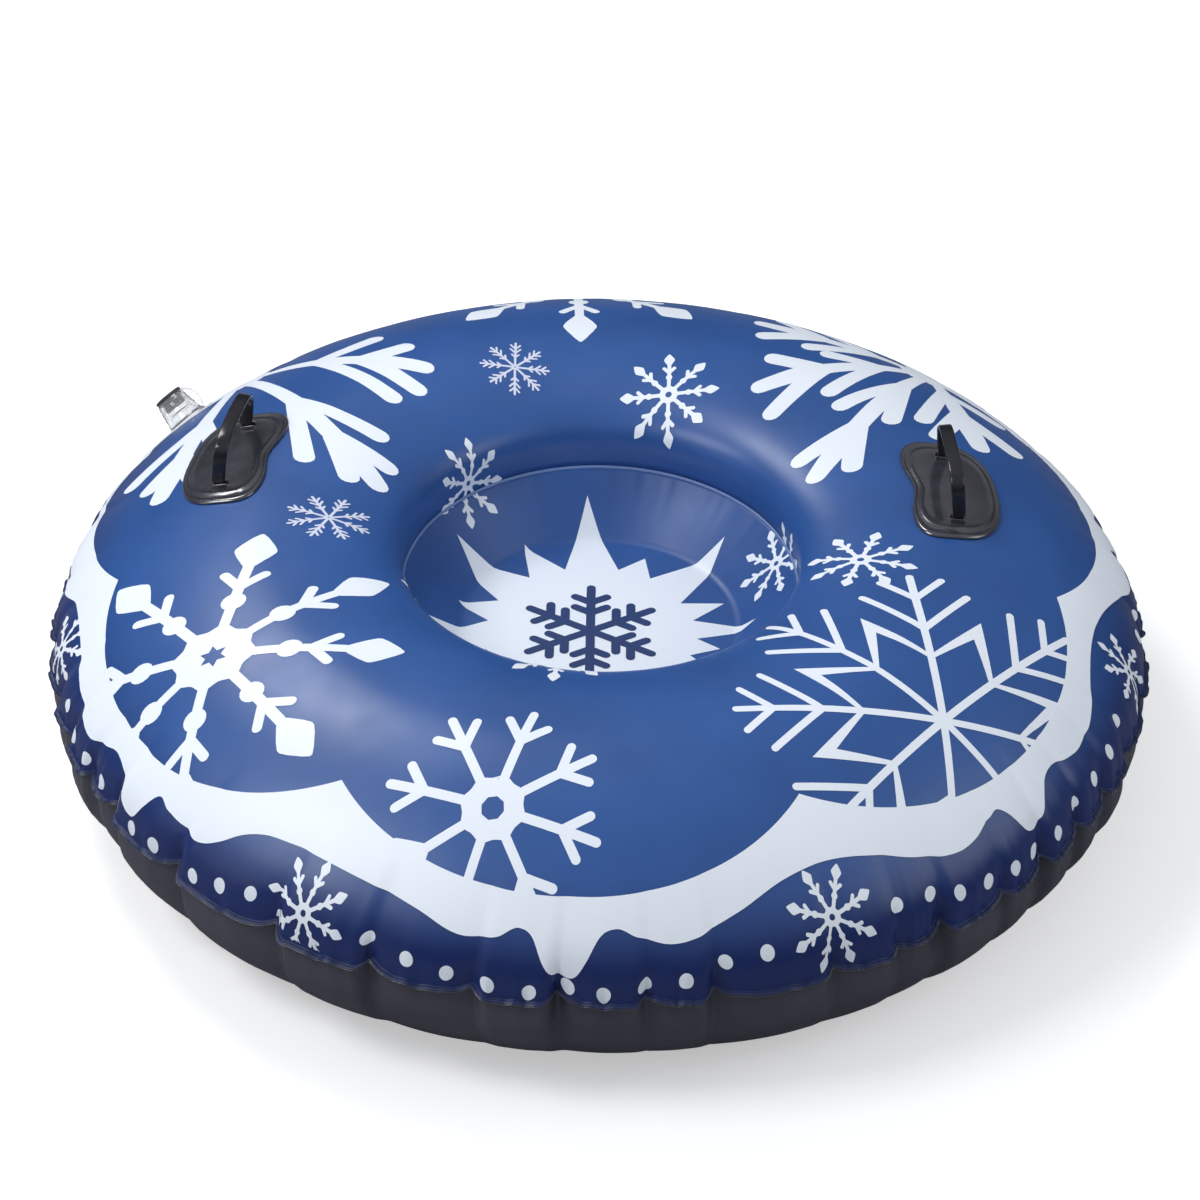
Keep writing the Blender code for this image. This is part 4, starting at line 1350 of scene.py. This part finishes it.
def rounded_bar(width, thickness, edge, steps=3):
    """Section of a bar with rounded edges, as (across, through) pairs."""
    corners = []
    for sign_w, sign_d, first in ((1, 1, 0), (-1, 1, 90), (-1, -1, 180), (1, -1, 270)):
        centre = (sign_w * (width / 2 - edge), sign_d * (thickness / 2 - edge))
        for step in range(steps + 1):
            corners.append(polar(edge, math.radians(first + 90 * step / steps), centre))
    return corners


def sweep(name, places, across, widths, thickness, edge, colour):
    """A rounded bar through places, with its width along one direction."""
    points = []
    for index, (place, width) in enumerate(zip(places, widths)):
        heading = places[min(index + 1, len(places) - 1)] - places[max(index - 1, 0)]
        through = across.cross(heading.normalized())
        limit = min(edge, min(width, thickness) / 2 * ROUNDEST_EDGE)
        bar = rounded_bar(width, thickness, limit)
        points += [place + across * w + through * d for w, d in bar]
    item = add_object(name, points, rod_faces(len(places), len(bar)), colour, body=None)
    mend(item, sharp=True)
    return item


def strap_path(arch_steps=48, end_steps=8):
    """Arch of the strap above its hinge line, as (along, up, width) from rear to front."""
    half_span, round_end_radius = STRAP_SPAN / 2, STRAP_WIDTH / 2
    leg = []
    for step in range(end_steps + 1):
        angle = STRAP_END_TURN * (1 - step / end_steps)
        up = -math.sin(angle) * round_end_radius
        leg.append((up, 2 * round_end_radius * math.cos(angle)))
    leg += [(STRAP_LEG * share, STRAP_WIDTH) for share in (0.3, 0.6)]
    path = [(-half_span, *station) for station in leg]
    for step in range(arch_steps + 1):
        turn = math.pi * step / arch_steps
        swell = STRAP_BULGE * math.sin(2 * turn) * math.sin(turn)
        side = signed_power(math.cos(turn), STRAP_SIDE_POWER)
        rise = (STRAP_RISE - STRAP_LEG) * math.sin(turn) ** STRAP_TOP_POWER
        path.append((-half_span * side - swell, STRAP_LEG + rise, STRAP_WIDTH))
    return path + [(half_span, *station) for station in reversed(leg)]


def make_strap(side):
    middle, along, up, across = handle_frame(side)
    stations, heights, widths = zip(*strap_path())
    places = [middle + along * a + up * h for a, h in zip(stations, heights)]
    item = sweep(
        f"{side}_handle_loop", places, across, widths, STRAP_THICKNESS, STRAP_EDGE, "handle"
    )
    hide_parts(f"{side}_handle_strap")
    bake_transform(item)


for side in ("left", "right"):
    make_pad(side)
    make_strap(side)


# Valve

def valve_matrix():
    point, around, upward, outward = shell_frame(VALVE_ANGLE, VALVE_ARC)
    return Matrix.Translation(point) @ Matrix((around, upward, outward)).transposed().to_4x4()


VALVE_MATRIX = valve_matrix()


def round_axis(radius, turn, height):
    return VALVE_MATRIX @ Vector((*polar(radius, turn), height))


def round_skin(radius, turn, lift):
    """Like round_axis, but bent to follow the skin."""
    around, up = polar(radius, turn)
    return on_shell(VALVE_ANGLE + around / TOP.at(VALVE_ARC)[0], VALVE_ARC + up, lift)


def turned_solid(name, profile, colour, body="root", closed=True, place=round_axis, sides=96):
    """A profile of (radius, height) turned round the valve."""
    points = [
        place(radius, math.tau * side / sides, height)
        for side in range(sides) for radius, height in profile
    ]
    item = add_object(name, points, grid_faces(sides, len(profile), closed), colour, body=body)
    mend(item, sharp=place is round_axis)
    return item


def make_valve_neck():
    """Tapered neck with a rolled rim and three rings."""
    bore, base_bore = NECK_TIP_RADIUS - NECK_WALL, NECK_BASE_RADIUS - NECK_BASE_WALL
    top = FLANGE_SEAT + FLANGE_SHEET
    taper = (NECK_BASE_RADIUS - NECK_TIP_RADIUS) / (NECK_HEIGHT - top)

    def side_at(height):
        return NECK_BASE_RADIUS - taper * (height - top)

    profile = [
        (bore, NECK_HEIGHT - 0.0004), (bore + 0.0005, NECK_HEIGHT),
        (NECK_TIP_RADIUS - 0.0006, NECK_HEIGHT), (NECK_TIP_RADIUS, NECK_HEIGHT - 0.0006),
    ]
    for height in NECK_RINGS:
        for out, up in ((0, 0.0009), (0.0004, 0.0004), (0.0004, -0.0004), (0, -0.0009)):
            profile.append((side_at(height) + out, height + up))
    profile += [
        (side_at(top + 0.003), top + 0.003), (NECK_BASE_RADIUS + 0.0004, top + 0.0012),
        (NECK_BASE_RADIUS + 0.0016, top + 0.0001), (NECK_BASE_RADIUS + 0.0016, top - 0.0006),
        (NECK_BASE_RADIUS, top - 0.0006), (NECK_BASE_RADIUS, -SKIRT_DEPTH),
        (base_bore, -SKIRT_DEPTH), (base_bore, top), (bore, NECK_HEIGHT - STRAIGHT_BORE),
    ]
    neck = turned_solid("valve_neck", profile, "clear")
    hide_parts("valve_body")


def make_valve_flange():
    """The flange, which follows the skin."""
    top, inner = FLANGE_SEAT + FLANGE_SHEET, NECK_BASE_RADIUS + 0.0004
    flange = turned_solid("valve_flange", [
        (inner, FLANGE_SEAT), (inner, top), (FLANGE_RADIUS - 0.0035, top),
        (FLANGE_RADIUS - 0.0025, top + 0.0003), (FLANGE_RADIUS - 0.0010, top + 0.0002),
        (FLANGE_RADIUS, top - 0.0006), (FLANGE_RADIUS, FLANGE_SEAT),
        ((NECK_BASE_RADIUS + FLANGE_RADIUS) / 2, FLANGE_SEAT),
    ], "clear", place=round_skin)


def make_valve_stopper(ribs=3):
    rim, stem = NECK_TIP_RADIUS, NECK_TIP_RADIUS - NECK_WALL - STOPPER_FIT
    bottom = NECK_HEIGHT + SEAT_GAP
    top = bottom + STOPPER_CAP
    profile = [
        (0, top - 0.0006), (rim - 0.0040, top - 0.0006), (rim - 0.0030, top), (rim - 0.0007, top),
        (rim, top - 0.0007), (rim, bottom + 0.0005), (rim - 0.0005, bottom), (stem, bottom),
    ]
    pitch, root = STOPPER_STEM / (2 * ribs), stem - STOPPER_RIB
    for rib in range(ribs):
        high = bottom - pitch * (2 * rib + 1)
        profile += [(stem, high), (root, high - pitch / 2), (root, high - pitch)]
    profile += [(root, bottom - STOPPER_STEM), (0, bottom - STOPPER_STEM)]
    item = turned_solid("valve_plug", profile, "stopper", "stopper", closed=False)
    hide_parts("valve_stopper")


def make_valve_tether(steps=28):
    cap_height = NECK_HEIGHT + SEAT_GAP + STOPPER_CAP / 2
    cap_end = NECK_TIP_RADIUS + SEAT_GAP
    foot_end = NECK_BASE_RADIUS + TETHER_FOOT_REACH
    foot_angle = VALVE_ANGLE - foot_end / math.hypot(*VALVE_MATRIX.translation.xy)
    foot_lift = FLANGE_SEAT + FLANGE_SHEET + SEAT_GAP
    foot = VALVE_MATRIX.inverted() @ on_shell(foot_angle, VALVE_ARC, foot_lift)
    places = []
    for step in range(steps + 1):
        share = step / steps
        bow = TETHER_BOW * math.sin(math.pi * share)
        reach = cap_end + (-foot.x - cap_end) * share + bow
        rise = cap_height + (foot.z - cap_height) * share**TETHER_DROP_POWER
        places.append(VALVE_MATRIX @ Vector((-reach, 0, rise)))
    across, axis = (VALVE_MATRIX.to_3x3().col[index] for index in (1, 2))
    widths = [TETHER_WIDTH] * len(places)
    item = sweep(
        "valve_leash", places, across, widths, TETHER_THICKNESS, TETHER_EDGE, "clear"
    )
    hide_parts("valve_tether")
    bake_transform(item)


make_valve_neck()
make_valve_flange()
make_valve_stopper()
make_valve_tether()
flap = bpy.data.objects["valve_flap"]
for slot in flap.material_slots:
    slot.material = MATERIALS["clear"]


# Studio

FLOOR_BOUNCE = (0.42, 0.43, 0.46)
FLOOR_IN_GLOSS = (0.22, 0.22, 0.25)
FLOOR_GLOW = 0.42
SKY_STRENGTH = 0.43
SKY_GLOSS = (0.02, 0.40)
SKY_GLOSS_HEIGHTS = (0.15, 0.85)
CAMERA_PLACE = Vector((0, -2.5435, 2.0890))
CAMERA_PITCH = math.radians(37.4103)
CAMERA_ROLL = math.radians(1.0309)
FOCAL_PIXELS = 3647.74
FRAME_PIXELS = 1200


def seen_ray(tree):
    """Ray sockets, and one that is 1 for what the camera sees, straight or through the clear."""
    rays = add_node(tree, "ShaderNodeLightPath").outputs
    return rays, larger(tree, rays["Is Camera Ray"], rays["Is Transmission Ray"])


def make_floor(sides=96, radius=6.0, height=-0.0005):
    """Pale to the camera, duller to the light that it throws back and in gloss."""
    material = MATERIALS["floor"] = bpy.data.materials.new("studio_floor")
    material.use_nodes = True
    tree = material.node_tree
    shader = tree.nodes["Principled BSDF"]
    shade = map_range(tree, noise(tree, 3, 2), NOISE_SPAN)
    pale = mix_colours(tree, shade, (0.84, 0.84, 0.85), (0.86, 0.86, 0.87))
    rays, seen = seen_ray(tree)
    unseen = mix_colours(tree, rays["Is Glossy Ray"], FLOOR_BOUNCE, FLOOR_IN_GLOSS)
    wire(shader, {
        "Roughness": 0.9, "Specular IOR Level": 0.1,
        "Base Color": mix_colours(tree, seen, unseen, pale),
    })
    lift = add_node(tree, "ShaderNodeMath", {0: seen, 1: FLOOR_GLOW}, operation="MULTIPLY")
    glow = add_node(tree, "ShaderNodeEmission", {"Strength": lift.outputs[0]})
    add = add_node(
        tree, "ShaderNodeAddShader", {0: shader.outputs["BSDF"], 1: glow.outputs["Emission"]}
    )
    wire(tree.nodes["Material Output"], {"Surface": add.outputs["Shader"]})
    points = [(0, 0, height)]
    points += [(*polar(radius, math.tau * side / sides), height) for side in range(sides)]
    faces = [(0, 1 + side, 1 + (side + 1) % sides) for side in range(sides)]
    add_object("studio_floor", points, faces, "floor", body=None, smooth=False)


def make_world():
    """Even light on matt surfaces, a sky that darkens downwards in gloss, white to the camera."""
    world = bpy.context.scene.world = bpy.data.worlds.new("studio")
    world.use_nodes = True
    tree = world.node_tree
    place = add_node(tree, "ShaderNodeTexCoord").outputs["Generated"]
    parts = add_node(tree, "ShaderNodeSeparateXYZ", {"Vector": place})
    gloss = map_range(tree, parts.outputs["Z"], SKY_GLOSS_HEIGHTS, SKY_GLOSS, "SMOOTHSTEP")
    rays, seen = seen_ray(tree)
    inputs = {"Factor": rays["Is Glossy Ray"], "A": SKY_STRENGTH, "B": gloss}
    strength = add_node(tree, "ShaderNodeMix", inputs, data_type="FLOAT")
    light = tree.nodes["Background"]
    wire(light, {"Color": (0.93, 0.96, 1.0, 1), "Strength": strength.outputs["Result"]})
    white = add_node(tree, "ShaderNodeBackground", {"Color": (1, 1, 1, 1), "Strength": 1.0})
    mix = add_node(tree, "ShaderNodeMixShader", {
        0: seen, 1: light.outputs["Background"], 2: white.outputs["Background"],
    })
    wire(tree.nodes["World Output"], {"Surface": mix.outputs["Shader"]})


def make_camera():
    data = bpy.data.cameras.new("photo_camera")
    data.sensor_fit = "HORIZONTAL"
    data.sensor_width = 36
    data.lens = FOCAL_PIXELS * data.sensor_width / FRAME_PIXELS
    data.clip_end = 50
    item = bpy.data.objects.new("photo_camera", data)
    collection.objects.link(item)
    turn = Matrix.Rotation(math.pi / 2 - CAMERA_PITCH, 4, "X")
    turn = turn @ Matrix.Rotation(CAMERA_ROLL, 4, "Z")
    item.matrix_world = Matrix.Translation(CAMERA_PLACE) @ turn
    bpy.context.scene.camera = item


make_floor()
make_world()
for name, place, target, size, power in (
    ("softbox_back_left", (-1.15, 1.30, 2.40), (-0.1, 0, 0.15), 0.9, 32),
    ("softbox_left", (-1.70, -0.70, 2.20), (-0.1, -0.1, 0.15), 1.0, 27),
    ("softbox_low_left", (-2.5, -1.2, 0.9), (-0.2, -0.1, 0.12), 1.3, 5),
    ("softbox_right", (2.4, -0.5, 1.7), (0.1, 0, 0.15), 1.6, 16),
):
    light = bpy.data.lights.new(name, "AREA")
    light.shape = "RECTANGLE"
    light.size = light.size_y = size
    light.energy = power
    lamp = bpy.data.objects.new(name, light)
    collection.objects.link(lamp)
    lamp.location = place
    heading = Vector(target) - Vector(place)
    lamp.rotation_euler = heading.to_track_quat("-Z", "Y").to_euler()
make_camera()
bpy.context.scene.view_settings.view_transform = "Standard"
